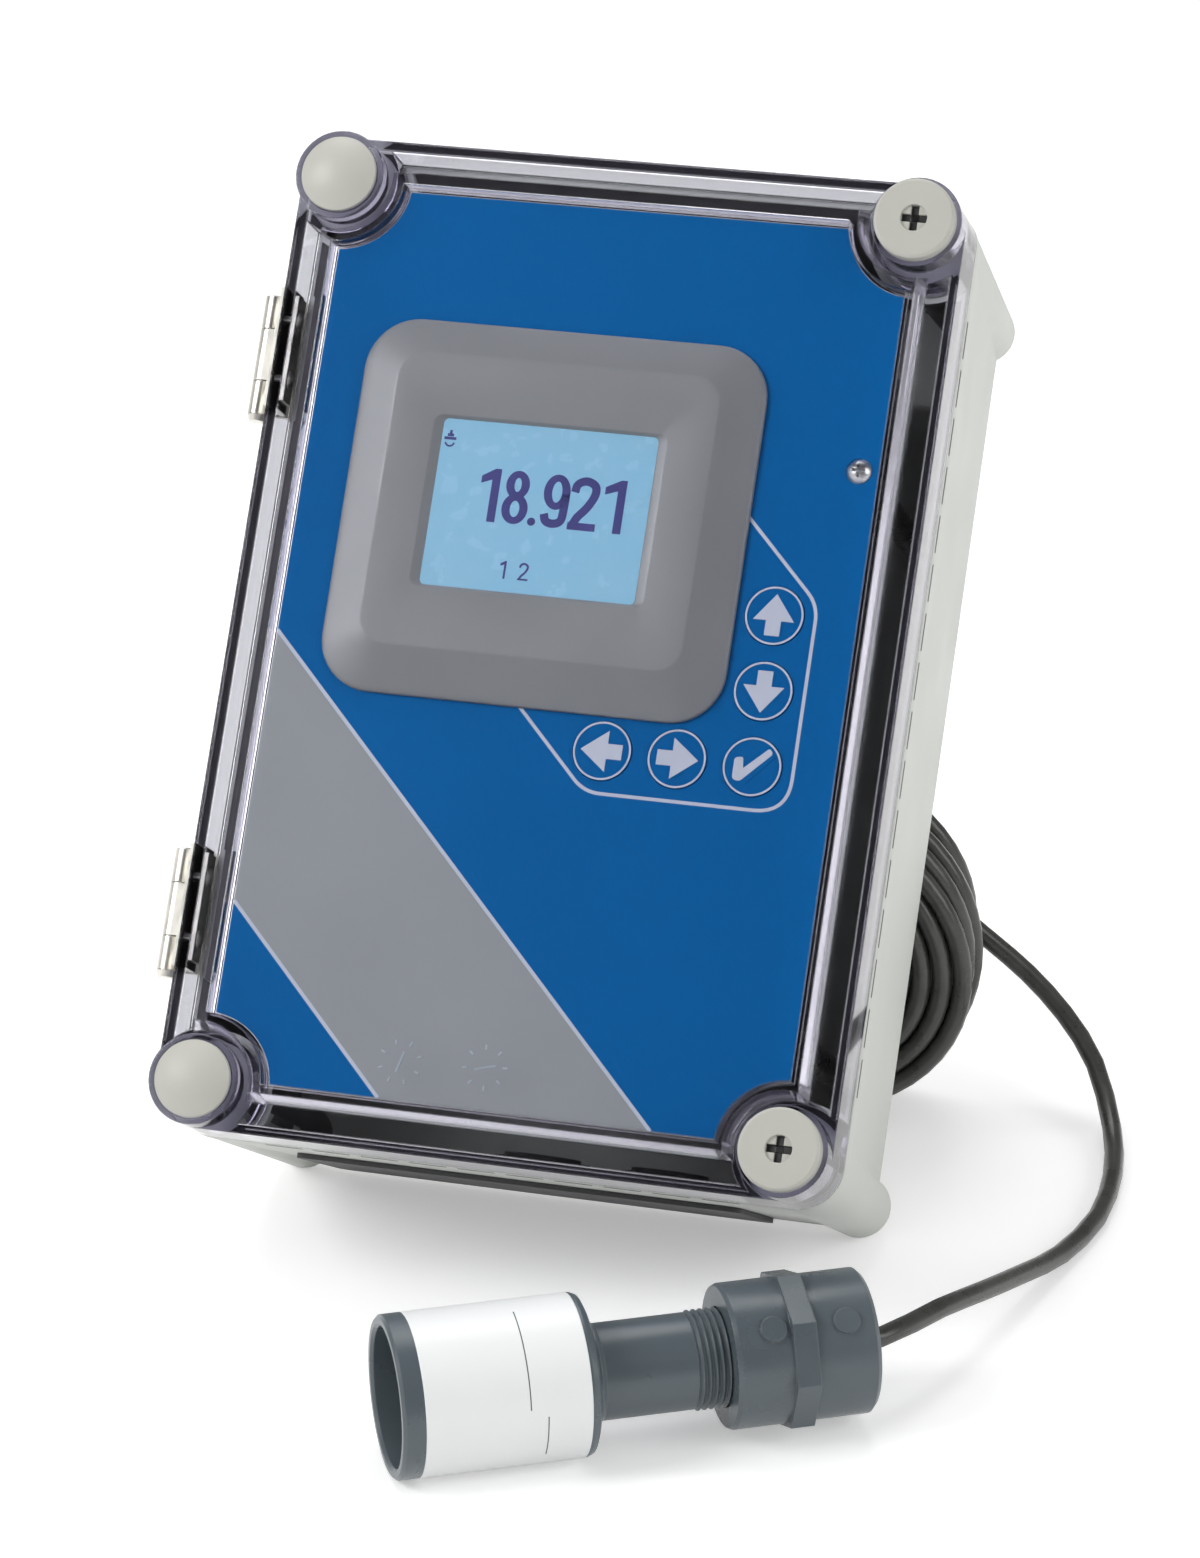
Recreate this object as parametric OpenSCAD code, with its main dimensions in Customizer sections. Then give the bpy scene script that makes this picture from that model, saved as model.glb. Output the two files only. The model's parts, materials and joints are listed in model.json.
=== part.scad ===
// Wall-mount ultrasonic level monitor with its transducer, transducer cable and cable coil.
// The enclosure is drawn square to its own frame: x to the right, y up the face, z out of
// the front, with the rear feet at z = 0. It is then leaned back on its two lower feet.
// The transducer is drawn along its own axis, mouth first, and laid on the ground.

/* [Place] */
// Lean of the enclosure from upright
lean = 33.4; // [20:0.1:45]
// Sideways place of the enclosure's middle
monitor_x = -6; // [-20:0.5:20]
// Front-to-back place of the enclosure's back plane at its middle
monitor_y = 92; // [80:0.5:110]
// Sideways distance from the enclosure's middle to the transducer's mouth
mouth_dx = -5; // [-20:0.5:20]
// Distance from the enclosure's back plane to the transducer's mouth
mouth_dy = -239.5; // [-260:0.5:-230]
// Turn of the transducer on the ground
sensor_yaw = 30; // [20:1:40]

/* [Base] */
// Distance between the corner posts, side to side
post_dx = 164; // [150:1:180]
// Distance between the corner posts, top to bottom
post_dy = 255.2; // [240:0.2:270]
// Radius of a corner post at the cover seam
post_r = 12.5; // [11.5:0.1:14]
// Radius of a corner post at its rear foot
foot_r = 9; // [8:0.1:10]
// Rounding of a rear foot
foot_round = 3; // [2:0.5:4]
// How far the feet stand behind the back wall
foot_proud = 1.5; // [0.5:0.1:3]
// Depth of the base from its feet to the seam
base_depth = 91; // [84:1:100]
// Inward taper of each side wall towards the back
side_taper = 8; // [4:0.5:10]
// Inward taper of each end wall towards the back
end_taper = 6; // [3:0.5:8]
// Thickness of the base walls
wall = 3; // [2.6:0.1:4]
// Width of the rim that carries the gasket
rim_w = 4.2; // [3.8:0.1:6]
// Height of that rim
rim_h = 4; // [3:0.5:6]
// Web between a corner post and the inside of the rim
rim_web = 4; // [3.5:0.1:6]
// Radius of the wall-screw holes in the feet
wall_bore_r = 2.75; // [2.2:0.05:3.2]
// Radius of the wells for the wall-screw heads
well_r = 4.8; // [4.6:0.1:6]
// Depth of those wells below the seam
well_depth = 31; // [24:1:40]
// Length of a drain slit below the seam
slit_len = 10.5; // [6:0.5:12]
// Distance from one slit to the next
slit_pitch = 13.7; // [13:0.1:16]
// Height of a slit
slit_h = 1.1; // [0.8:0.1:1.4]

/* [Cover] */
// Seam between the base rim and the cover
seam_gap = 1; // [0.8:0.1:1.5]
// Wall thickness of the clear cover
cover_wall = 2.6; // [2.2:0.1:3]
// Height of the cover's side walls
skirt_h = 16.5; // [15:0.5:20]
// Height of the raised window above the cover's rim
window_rise = 7.5; // [7:0.5:9]
// Outward slope of the window's flanks over that height
window_flank = 1.7; // [1:0.1:2]
// Height of the corner towers above the cover's rim
tower_rise = 6.7; // [6:0.1:8]
// Width of the cover's ledge along the sides
ledge_side = 10.2; // [9:0.1:12]
// Width of the cover's ledge along the ends
ledge_end = 10.6; // [9:0.1:12]
// Moat between a corner tower and the window
moat = 3.5; // [3:0.1:5]
// Web between a corner tower and the inside of the cover
tower_web = 2.6; // [2.4:0.1:4]
// Radius of the plain corner caps
cap_r = 10.6; // [9.5:0.1:11]
// Height of a cap's dome
dome_h = 3.2; // [2.5:0.1:4]
// Depth of a cap's seat
cap_seat = 2.4; // [2:0.1:3]
// Radius of the cover-screw heads
head_r = 11.2; // [10:0.1:12]
// Height of the cover-screw heads
head_h = 4; // [3.5:0.1:5]
// Radius of the cover-screw shanks
shank_r = 3.5; // [3:0.1:3.7]
// Reach of the cover screws below the seam
shank_reach = 12; // [8:0.5:16]
// Height of the cover screws' thread over the shank
screw_tooth = 0.8; // [0.5:0.1:0.9]
// Pitch of that thread
screw_pitch = 2.4; // [1.8:0.1:3]

/* [Hinges] */
// Distance between the two hinges
hinge_dy = 158.6; // [140:0.2:180]
// Length of a hinge
hinge_len = 34; // [30:1:40]
// Length of its middle knuckle
knuckle_len = 15; // [12:0.5:18]
// Radius of the knuckles
barrel_r = 2.9; // [2.6:0.1:3.2]
// Radius of the hinge pins
pin_r = 1.3; // [1:0.05:1.5]
// Thickness of the hinge leaves
leaf_t = 1.4; // [1.2:0.1:1.6]
// Distance from the side wall to the hinge axis
hinge_off = 7; // [6.5:0.1:8]
// Height of the leaf on the cover
cover_leaf_h = 12.5; // [11.5:0.5:13]
// Height of the leaf on the base
base_leaf_h = 16; // [14:0.5:20]
// Distance between the rivets of a leaf
rivet_dy = 17; // [14:0.5:22]
// Radius of the rivet shanks
rivet_r = 1.5; // [1.2:0.1:1.8]
// Radius of the rivet heads
rivet_head_r = 2.7; // [2.4:0.1:3]

/* [Face] */
// Room between the graphic overlay and the window
face_room = 6; // [5.6:0.1:6.6]
// Thickness of the graphic overlay
overlay_t = 0.4; // [0.3:0.1:0.6]
// Thickness of the face panel
panel_t = 2; // [1.5:0.1:2.5]
// Sideways gap between the face panel and the window's wall
panel_gap = 0.7; // [0.6:0.1:1.2]
// Width of the display bezel
bezel_w = 114.4; // [108:0.2:118]
// Height of the display bezel
bezel_h = 105.6; // [100:0.2:110]
// Thickness of the display bezel
bezel_t = 5.2; // [4.4:0.1:5.4]
// Width of the bezel's slope
bezel_slope = 11; // [8:0.5:13]
// Middle of the bezel, across the face
bezel_x = -10.4; // [-12:0.1:-8]
// Middle of the bezel, up the face
bezel_y = 37.2; // [35:0.1:39]
// Width of the visible screen
screen_w = 60.6; // [56:0.2:64]
// Height of the visible screen
screen_h = 46.4; // [42:0.2:50]
// Middle of the screen, across the face
screen_x = -12.4; // [-14:0.1:-10]
// Middle of the screen, up the face
screen_y = 39.1; // [37:0.1:41]
// Distance from key to key
key_pitch = 20.9; // [20:0.1:22]
// Radius of a key
key_r = 8.15; // [7.5:0.05:8.5]
// Travel of a key
key_travel = 0.5; // [0.3:0.1:0.6]
// Distance of the upright row of keys from the bezel's side
key_off_x = 10.6; // [10:0.1:12]
// Distance of the level row of keys from the bezel's lower edge
key_off_y = 9.4; // [9.2:0.1:11]
// Distance of the face-panel screw from the panel's edge
panel_screw_inset = 6.2; // [5:0.1:7]
// Face-panel screw, up the face
panel_screw_y = 58.8; // [50:0.1:66]
// Radius of the face-panel screw's head
panel_screw_r = 3.35; // [3:0.05:3.6]

/* [Electronics] */
// Width of the main circuit board
board_w = 132; // [120:1:136]
// Height of the main circuit board
board_h = 214; // [200:1:220]
// Thickness of the circuit boards
board_t = 1.6; // [1.2:0.1:2]
// Height of the main board's standoffs
standoff_h = 12; // [8:0.5:16]
// Radius of the pillars that carry the face panel
pillar_r = 4; // [3.5:0.1:4.3]
// Height of the display board's spacers
spacer_h = 8; // [7.5:0.1:10]
// Width of the transformer's core
core_w = 48; // [40:1:52]
// Height of the transformer's core
core_h = 40; // [34:1:44]
// Thickness of one yoke of that core
core_leg = 13; // [10:0.5:15]
// Length of its winding between the yokes
winding_len = 9; // [8:0.5:12]
// Distance of the transformer from the board's side and top edges
core_inset = 10; // [6:0.5:20]
// Width of a relay
relay_w = 20; // [16:0.5:22]
// Height of a relay
relay_h = 28; // [24:0.5:30]
// Thickness of a relay
relay_t = 16; // [12:0.5:20]
// Gap between the relays, and from them to the board's side edge
relay_gap = 6; // [4:0.5:10]
// Radius of a filter capacitor
capacitor_r = 8; // [6:0.5:9]
// Length of a filter capacitor
capacitor_len = 25; // [20:1:30]
// Gap between the capacitors
capacitor_gap = 4; // [2:0.5:8]
// Pitch of the power terminals
power_pitch = 7.6; // [7:0.1:8]
// Pitch of the signal terminals
signal_pitch = 5.08; // [5:0.01:5.2]
// Depth of a terminal row
terminal_w = 12; // [10:0.5:14]
// Height of a terminal row
terminal_h = 14; // [12:0.5:18]
// Distance of the terminals from the board's lower edge
terminal_inset = 11; // [8:0.5:16]
// Width of the flat lead to the display board
lead_w = 25; // [20:1:32]

/* [Entries] */
// Radius of a conduit entry in the bottom wall
entry_r = 11; // [10:0.1:11.5]
// Radius of the nut on an entry, over its corners
entry_nut_r = 14; // [13:0.1:15]
// Distance between the two entries
entry_dx = 37; // [34:0.5:44]
// Middle of the two entries, across the bottom wall
entry_x = 13.5; // [0:0.5:16]
// Height of the entries above the feet
entry_z = 25; // [22:0.5:30]
// Length of the plate that closes the entries
plate_len = 128; // [110:1:130]
// Depth of that plate
plate_w = 50; // [44:1:52]
// Thickness of that plate
plate_t = 1.4; // [1.2:0.1:2]
// Middle of that plate, across the bottom wall
plate_x = -4.5; // [-5:0.1:0]
// Rise of the middle of that plate above the entries
plate_rise = 6; // [4:0.5:8]

/* [Transducer] */
// Radius of the transducer's body
body_r = 21.7; // [20:0.1:24]
// Length of the body
body_len = 53; // [48:0.5:58]
// Radius of the open mouth
mouth_r = 18.6; // [17:0.1:19]
// Depth of the open mouth
mouth_depth = 24; // [18:0.5:30]
// Length of the front lip
lip_len = 12; // [9:0.5:15]
// Length of the rear lip
rear_lip = 8; // [6:0.5:12]
// Thickness of the bare label sleeve
label_t = 0.3; // [0.2:0.05:0.4]
// Radius of the stem
stem_r = 12.85; // [12.4:0.05:13]
// Length of the stem and thread that show
stem_show = 37; // [32:0.5:42]
// Outer radius of the pipe thread
thread_r = 13.35; // [13.2:0.05:13.6]
// Pitch of the pipe thread
thread_pitch = 1.81; // [1.6:0.01:2.4]
// Length of thread that shows before the coupling
thread_show = 9; // [6:0.5:12]
// Length of thread inside the coupling
thread_in = 20; // [16:0.5:22]
// Radius of the coupling
coupling_r = 19.4; // [18.6:0.1:20]
// Length of the coupling
coupling_len = 39; // [36:0.5:44]
// Width of the coupling's eight-sided band
band_w = 6.4; // [5:0.2:8]
// Radius of the round gate marks on the coupling
gate_r = 3.5; // [2.5:0.1:4]

/* [Cable] */
// Radius of the cable
cable_r = 2.85; // [2.6:0.05:3]
// Radius of the coil at the middle of its turns
coil_r = 38; // [37:0.5:40]
// Half thickness of the bundle of turns, out from the coil's middle
bundle_r = 14.2; // [13.8:0.1:15]
// Half width of the bundle, along the coil's axis
bundle_w = 17.6; // [17:0.1:18.4]
// Rounding of the bundle
bundle_round = 7; // [5:0.5:9]
// Sideways distance from the enclosure's middle to the coil's
coil_dx = 46; // [40:0.5:50]
// Gap between the coil and the back wall that leans on it
coil_gap = 0.3; // [0.2:0.1:1]

/* [Hidden] */
$fn = 64;
hull_fn = 32;
eps = 0.01;
// Clearances: a sliding or turning fit, a loose piece in its seat, faces that only meet
fit = 0.05;
slack = 0.2;
kiss = 0.1;

// Half sizes of the enclosure
px = post_dx / 2;
py = post_dy / 2;
half_w = px + post_r;
half_h = py + post_r;

// Heights along the enclosure's own z
floor_t = 3.2;
inner_floor = foot_proud + floor_t;
seam_z = base_depth;
cover_z = seam_z + seam_gap;
rim_z = cover_z + skirt_h;
window_top = rim_z + window_rise;
window_under = window_top - cover_wall;
tower_top = rim_z + tower_rise;
overlay_top = window_under - face_room;
panel_top = overlay_top - overlay_t;
panel_z = panel_top - panel_t;
display_z = panel_z - spacer_h - board_t;
main_z = inner_floor + standoff_h;

// Half sizes of the window and of the face panel under it
win_w = half_w - ledge_side;
win_h = half_h - ledge_end;
scallop_r = post_r + moat;
panel_w = win_w - cover_wall - panel_gap;
panel_h = win_h - cover_wall - panel_gap;
panel_scallop = scallop_r + cover_wall + panel_gap;

// Lift that sets the rounded lower feet on the ground
lift = (py + foot_r - foot_round) * cos(lean) - foot_round * sin(lean) + foot_round;

// Hinge axis and the flat webs that are tangent to the barrel
hinge_x = -half_w - hinge_off;
hinge_z = seam_z + 2;
cover_web_z = hinge_z + barrel_r - leaf_t;
base_web_z = hinge_z - barrel_r;
web_x = hinge_x + barrel_r + 0.5;
backing_t = 1.2;

// Pad that carries a base leaf, as thick as the tapered wall reaches in behind it
pad_h = base_leaf_h + 2;
pad_t = wall + side_taper * pad_h / (seam_z - inner_floor);

// Display window, keys and switches
screen_margin = 2.7;
glass_w = screen_w + 2 * screen_margin;
glass_h = screen_h + 2 * screen_margin;
lcd_frame = 5;
key_flange = 0.9;
key_flange_t = 1.3;
key_proud = 0.2;
key_low = panel_z - kiss - key_flange_t;
relief = 0.15;

// Key places round the bezel's lower right corner: two above the check key, two to its left
enter_x = bezel_x + bezel_w / 2 + key_off_x;
enter_y = bezel_y - bezel_h / 2 - key_off_y;
key_up_at = [enter_x, enter_y + 2 * key_pitch];
key_down_at = [enter_x, enter_y + key_pitch];
key_right_at = [enter_x - key_pitch, enter_y];
key_left_at = [enter_x - 2 * key_pitch, enter_y];
key_enter_at = [enter_x, enter_y];
key_places = [key_up_at, key_down_at, key_left_at, key_right_at, key_enter_at];

// Pillars that carry the face panel, one of them under its screw
panel_screw_x = panel_w - panel_screw_inset;
pillar_y = 0.75 * panel_h;
pillar_places = [
    [panel_screw_x, panel_screw_y],
    [panel_screw_x, -pillar_y],
    [-panel_screw_x, pillar_y],
    [-panel_screw_x, -pillar_y]
];
panel_shank_r = 1.9;
panel_shank_len = 9;

// Display board, large enough for the screen and all five keys
display_left = screen_x - glass_w / 2 - 9;
display_right = enter_x + key_r + 0.5;
display_low = enter_y - key_r - 4;
display_high = screen_y + glass_h / 2 + 9;

// Slope of the bottom wall, and its outer face at the height of the entries
end_slope = atan(end_taper / (seam_z - foot_proud));
entry_y = -half_h + end_taper * (seam_z - entry_z) / (seam_z - foot_proud);

// Lengths along the transducer's axis, from its mouth
coupling_at = body_len + stem_show;
stem_end = coupling_at + thread_in;
sensor_len = coupling_at + coupling_len;
band_at = coupling_at + coupling_len / 2 - 1;
face_t = 4;

// Cable route on the ground, from the transducer to the coil. Both ends are worked out
// from the transducer and the coil; the points between are chosen by eye.
sensor_dir = [cos(sensor_yaw), sin(sensor_yaw), 0];
mouth_at = [monitor_x + mouth_dx, monitor_y + mouth_dy, body_r];
cable_from = mouth_at + stem_end * sensor_dir;
socket_end = mouth_at + sensor_len * sensor_dir;
coil_z = coil_r + bundle_r;
coil_reach = (coil_z - bundle_round) * sin(lean) + (bundle_w - bundle_round) * cos(lean) + bundle_round;
coil_dy = (coil_reach + sin(lean) * (coil_z - lift) - foot_proud + coil_gap) / cos(lean);
coil_at = [monitor_x + coil_dx, monitor_y + coil_dy, coil_z];
cable_ground = [
    [116, -57, 20],
    [123, -36, 15.5],
    [129, -12, 9.5],
    [135, 13, 4],
    [140, 40, cable_r],
    [139, 68, cable_r],
    [134, 92, 5.5],
    [125, 110, 17],
    [114, 118, 28]
];
cable_to_coil = [
    coil_at + [62, bundle_w + 4.5, -14],
    coil_at + [51, bundle_w + 4.8, -5.5],
    coil_at + [40, bundle_w + 3.2, 3.5],
    coil_at + [31, bundle_w - 0.5, 12],
    coil_at + [23, bundle_w - 4, 21]
];
route = concat(
    [cable_from, cable_from + 9 * sensor_dir, socket_end + 5 * sensor_dir],
    cable_ground,
    cable_to_coil
);
cable_sides = 10;
route_steps = 4;

// Colours
shell_grey = [0.80, 0.82, 0.80];
cap_grey = [0.82, 0.82, 0.79];
clear_tint = [0.75, 0.77, 0.82, 0.35];
nickel = [0.78, 0.77, 0.72];
board_green = [0.10, 0.33, 0.22];
terminal_green = [0.15, 0.45, 0.25];
panel_blue = [0.02, 0.36, 0.62];
bezel_grey = [0.49, 0.50, 0.50];
screen_blue = [0.59, 0.80, 0.89];
pvc_grey = [0.33, 0.37, 0.39];
cable_black = [0.20, 0.20, 0.20];

// Enclosure frame to ground
module place() {
    translate([monitor_x, monitor_y, lift]) rotate([90 - lean, 0, 0]) children();
}

// Transducer axis to ground: z of the child runs from the mouth to the rear
module sensor_place() {
    translate(mouth_at) rotate([0, 0, sensor_yaw]) rotate([0, 90, 0]) children();
}

module at_posts() {
    for (sx = [-1, 1], sy = [-1, 1]) translate([sx * px, sy * py, 0]) children();
}

module at_hinge(side) {
    translate([0, side * hinge_dy / 2, 0]) children();
}

// Outline of the enclosure at the seam: straight sides and round corner posts
module case_outline() {
    square([2 * half_w, 2 * py], center = true);
    square([2 * px, 2 * half_h], center = true);
    at_posts() circle(r = post_r);
}

// Rectangle with the four corner posts scooped out of it
module scooped(w, h, scoop) {
    difference() {
        square([2 * w, 2 * h], center = true);
        at_posts() circle(r = scoop);
    }
}

// Ring for the gasket: along the walls and inside the corner posts
module gasket_field(w, h, scoop) {
    difference() {
        scooped(w, h, scoop);
        for (sx = [-1, 1], sy = [-1, 1])
            translate([sx * (px + post_r), sy * (py + post_r)])
                square(2 * post_r, center = true);
    }
}

// Rectangle with round corners
module rounded(w, h, r) {
    square([w, h - 2 * r], center = true);
    square([w - 2 * r, h], center = true);
    for (sx = [-1, 1], sy = [-1, 1])
        translate([sx * (w / 2 - r), sy * (h / 2 - r)]) circle(r = r);
}

module slab(z, t) {
    translate([0, 0, z]) linear_extrude(t) children();
}

// Eight-sided outline whose short sides are buried in the corner posts
module wall_outline(w, h) {
    polygon([[w, -py], [w, py], [px, h], [-px, h], [-w, py], [-w, -py], [-px, -h], [px, -h]]);
}

// Tapered block between two wall outlines, inset by a wall thickness
module tapered_block(low, high, inset) {
    hull() {
        slab(low, eps) wall_outline(half_w - side_taper - inset, half_h - end_taper - inset);
        slab(high - eps, eps) wall_outline(half_w - inset, half_h - inset);
    }
}

// Corner post: a cone with a rounded rear foot
module corner_post() {
    rotate_extrude() polygon(concat(
        [[0, 0]],
        [for (a = [0:15:90]) [foot_r - foot_round + foot_round * sin(a), foot_round - foot_round * cos(a)]],
        [[post_r, seam_z], [0, seam_z]]
    ));
}

// Row of slits along one wall, just under the seam
module slit_row(run) {
    count = floor(run / slit_pitch);
    for (i = [0:count - 1])
        translate([(i - (count - 1) / 2) * slit_pitch, 0, seam_z - rim_h / 2 - slit_h / 2])
            cube([slit_len, rim_w, slit_h], center = true);
}

module base_slits() {
    for (s = [-1, 1]) {
        translate([s * half_w, 0, 0]) rotate([0, 0, 90]) slit_row(2 * py - 2 * post_r);
        translate([0, s * half_h, 0]) slit_row(2 * px - 2 * post_r);
    }
}

module rivet_places(z) {
    for (s = [-1, 1]) translate([-half_w, s * rivet_dy / 2, z]) rotate([0, 90, 0]) children();
}

cover_rivet_z = cover_web_z + leaf_t + (cover_leaf_h - leaf_t) / 2;
base_rivet_z = base_web_z + leaf_t - base_leaf_h / 2 - leaf_t / 2;

module base_housing() {
    color(shell_grey) place() difference() {
        union() {
            difference() {
                tapered_block(foot_proud, seam_z, 0);
                tapered_block(inner_floor, seam_z + 2 * eps, wall);
            }
            at_posts() corner_post();
            slab(seam_z - rim_h, rim_h) difference() {
                case_outline();
                scooped(half_w - rim_w, half_h - rim_w, post_r + rim_web);
            }
            for (s = [-1, 1]) at_hinge(s) hinge_pad();
        }
        at_posts() {
            translate([0, 0, -1]) cylinder(r = wall_bore_r, h = seam_z);
            translate([0, 0, seam_z - well_depth]) cylinder(r = well_r, h = well_depth + 1);
        }
        base_slits();
        at_entries() translate([0, 0, -3 * wall]) cylinder(r = entry_r, h = 4 * wall);
        for (s = [-1, 1]) at_hinge(s) rivet_places(base_rivet_z)
            translate([0, 0, -1]) cylinder(r = rivet_r + fit, h = 3 * wall);
    }
}

// Flat pad that carries a hinge leaf on the tapered side wall
module hinge_pad() {
    translate([-half_w, -hinge_len / 2 - 1, seam_z - pad_h]) cube([pad_t, hinge_len + 2, pad_h]);
}

// Entry axis, out of the sloping bottom wall
module at_entries() {
    for (s = [-1, 1])
        translate([entry_x + s * entry_dx / 2, entry_y, entry_z]) rotate([90 + end_slope, 0, 0]) children();
}

// Blank plate over the conduit entries: a boss through each entry, with a nut inside
module entry_plate() {
    edge = 1;
    nut_t = 4;
    nut_at = wall + 2 * slack;
    color([0.13, 0.13, 0.13]) place() {
        translate([plate_x, entry_y, entry_z]) rotate([90 + end_slope, 0, 0])
            translate([0, plate_rise, kiss]) linear_extrude(plate_t) rounded(plate_len, plate_w, 4);
        at_entries() {
            translate([0, 0, -nut_at - nut_t - edge])
                cylinder(r = entry_r - kiss, h = nut_at + nut_t + edge + plate_t);
            translate([0, 0, -nut_at - nut_t]) cylinder(r = entry_nut_r, h = nut_t, $fn = 6);
        }
    }
}

module cover_gasket() {
    color([0.25, 0.26, 0.26]) place() slab(seam_z, seam_gap - kiss) difference() {
        gasket_field(half_w - 0.8, half_h - 0.8, post_r + 0.7);
        gasket_field(half_w - 2.4, half_h - 2.4, post_r + 2.4);
    }
}

module board_standoffs() {
    color(nickel) place()
        for (sx = [-1, 1], sy = [-1, 0, 1])
            translate([sx * (board_w / 2 - 6), sy * (board_h / 2 - 6), inner_floor])
                cylinder(r = 3.2, h = standoff_h, $fn = 6);
}

module main_board() {
    color(board_green) place() slab(main_z, board_t) difference() {
        rounded(board_w, board_h, 3);
        for (sx = [-1, 1], sy = [-1, 0, 1])
            translate([sx * (board_w / 2 - 6), sy * (board_h / 2 - 6)]) circle(r = 1.6);
    }
}

board_top = main_z + board_t;

// Laminated core with its winding, standing on the main board
module power_transformer() {
    core_x = -board_w / 2 + core_inset + core_w / 2;
    core_y = board_h / 2 - 2 * core_inset - core_h / 2;
    color([0.35, 0.35, 0.36]) place() translate([core_x, core_y, board_top]) {
        slab(0, core_leg) square([core_w, core_h], center = true);
        slab(core_leg, winding_len) rounded(core_w - core_leg, core_h - core_leg, 4);
        slab(core_leg + winding_len, core_leg) square([core_w, core_h], center = true);
    }
}

module output_relays() {
    first_x = board_w / 2 - 2 * relay_gap - relay_w / 2;
    color([0.16, 0.30, 0.46]) place()
        for (i = [0, 1])
            translate([first_x - i * (relay_w + relay_gap), relay_h, board_top])
                slab(0, relay_t) rounded(relay_w, relay_h, 1.5);
}

// Row of screw terminals with an open wire mouth at each way
module terminal_row(ways, pitch) {
    run = ways * pitch;
    mouth = 0.72 * pitch;
    difference() {
        translate([-run / 2, -terminal_w / 2, 0]) cube([run, terminal_w, terminal_h]);
        for (i = [0:ways - 1]) translate([(i + 0.5) * pitch - run / 2, 0, 0]) {
            translate([0, 0, 0.65 * terminal_h]) cylinder(d = mouth, h = terminal_h, $fn = 24);
            translate([-mouth / 2, -terminal_w, 0.15 * terminal_h])
                cube([mouth, terminal_w, 0.35 * terminal_h]);
        }
    }
}

terminal_y = -board_h / 2 + terminal_inset + terminal_w / 2;

module power_terminals() {
    color(terminal_green) place()
        translate([-board_w / 4, terminal_y, board_top]) terminal_row(6, power_pitch);
}

module signal_terminals() {
    color(terminal_green) place()
        translate([board_w / 4, terminal_y, board_top]) terminal_row(10, signal_pitch);
}

module filter_capacitors() {
    pitch = 2 * capacitor_r + capacitor_gap;
    color([0.18, 0.18, 0.24]) place()
        for (i = [0, 1])
            translate([board_w / 4, board_h / 2 - 2 * core_inset - i * pitch, board_top])
                cylinder(r = capacitor_r, h = capacitor_len);
}

// Flat lead that folds from the main board up to the display board
module ribbon_lead() {
    lead_t = 0.8;
    rise = display_z - board_top;
    color([0.6, 0.6, 0.62]) place() translate([-10, -20, board_top]) rotate([90, 0, 90])
        linear_extrude(lead_w) polygon([
            [0, 0], [14, 0], [14, 4], [11, 4], [11, 8], [30, rise / 2], [11, rise - 8], [11, rise - 4],
            [14, rise - 4], [14, rise], [0, rise], [0, rise - 4], [11 - lead_t, rise - 4],
            [11 - lead_t, rise - 8], [30 - 1.5 * lead_t, rise / 2], [11 - lead_t, 8], [11 - lead_t, 4], [0, 4]
        ]);
}

module panel_pillars() {
    color(nickel) place()
        for (at = pillar_places) translate([at.x, at.y, inner_floor]) difference() {
            cylinder(r = pillar_r, h = panel_z - inner_floor);
            translate([0, 0, panel_z - inner_floor - panel_shank_len])
                cylinder(r = panel_shank_r + fit, h = panel_shank_len + 1);
        }
}

module key_holes() {
    for (at = key_places) translate(at) circle(r = key_r + slack);
}

module face_panel() {
    color([0.72, 0.73, 0.74]) place() slab(panel_z, panel_t) difference() {
        scooped(panel_w, panel_h, panel_scallop);
        translate([screen_x, screen_y]) rounded(glass_w + 2 * slack, glass_h + 2 * slack, 1.5);
        key_holes();
        translate([panel_screw_x, panel_screw_y]) circle(r = panel_shank_r + slack);
    }
}

module face_overlay() {
    color(panel_blue) place() slab(panel_top, overlay_t) difference() {
        scooped(panel_w - 0.3, panel_h - 0.3, panel_scallop + 0.3);
        translate([screen_x, screen_y]) rounded(glass_w + 2 * slack, glass_h + 2 * slack, 1.5);
        key_holes();
        translate([panel_screw_x, panel_screw_y]) circle(r = panel_screw_r + slack);
    }
}

// Cross-shaped drive recess, cut downwards from z = 0
module cross_drive(span, blade, depth) {
    for (a = [0, 90]) rotate([0, 0, a])
        translate([-span / 2, -blade / 2, -depth]) cube([span, blade, depth + 1]);
}

module panel_screw() {
    head = 2.2;
    color(nickel) place() translate([panel_screw_x, panel_screw_y, panel_top]) {
        difference() {
            intersection() {
                cylinder(r = panel_screw_r, h = head);
                translate([0, 0, head - 4.2]) sphere(r = 4.2);
            }
            translate([0, 0, head]) cross_drive(3.6, 0.9, 1.2);
        }
        translate([0, 0, 0.5 - panel_t - panel_shank_len])
            cylinder(r = panel_shank_r, h = panel_t + panel_shank_len);
    }
}

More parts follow.
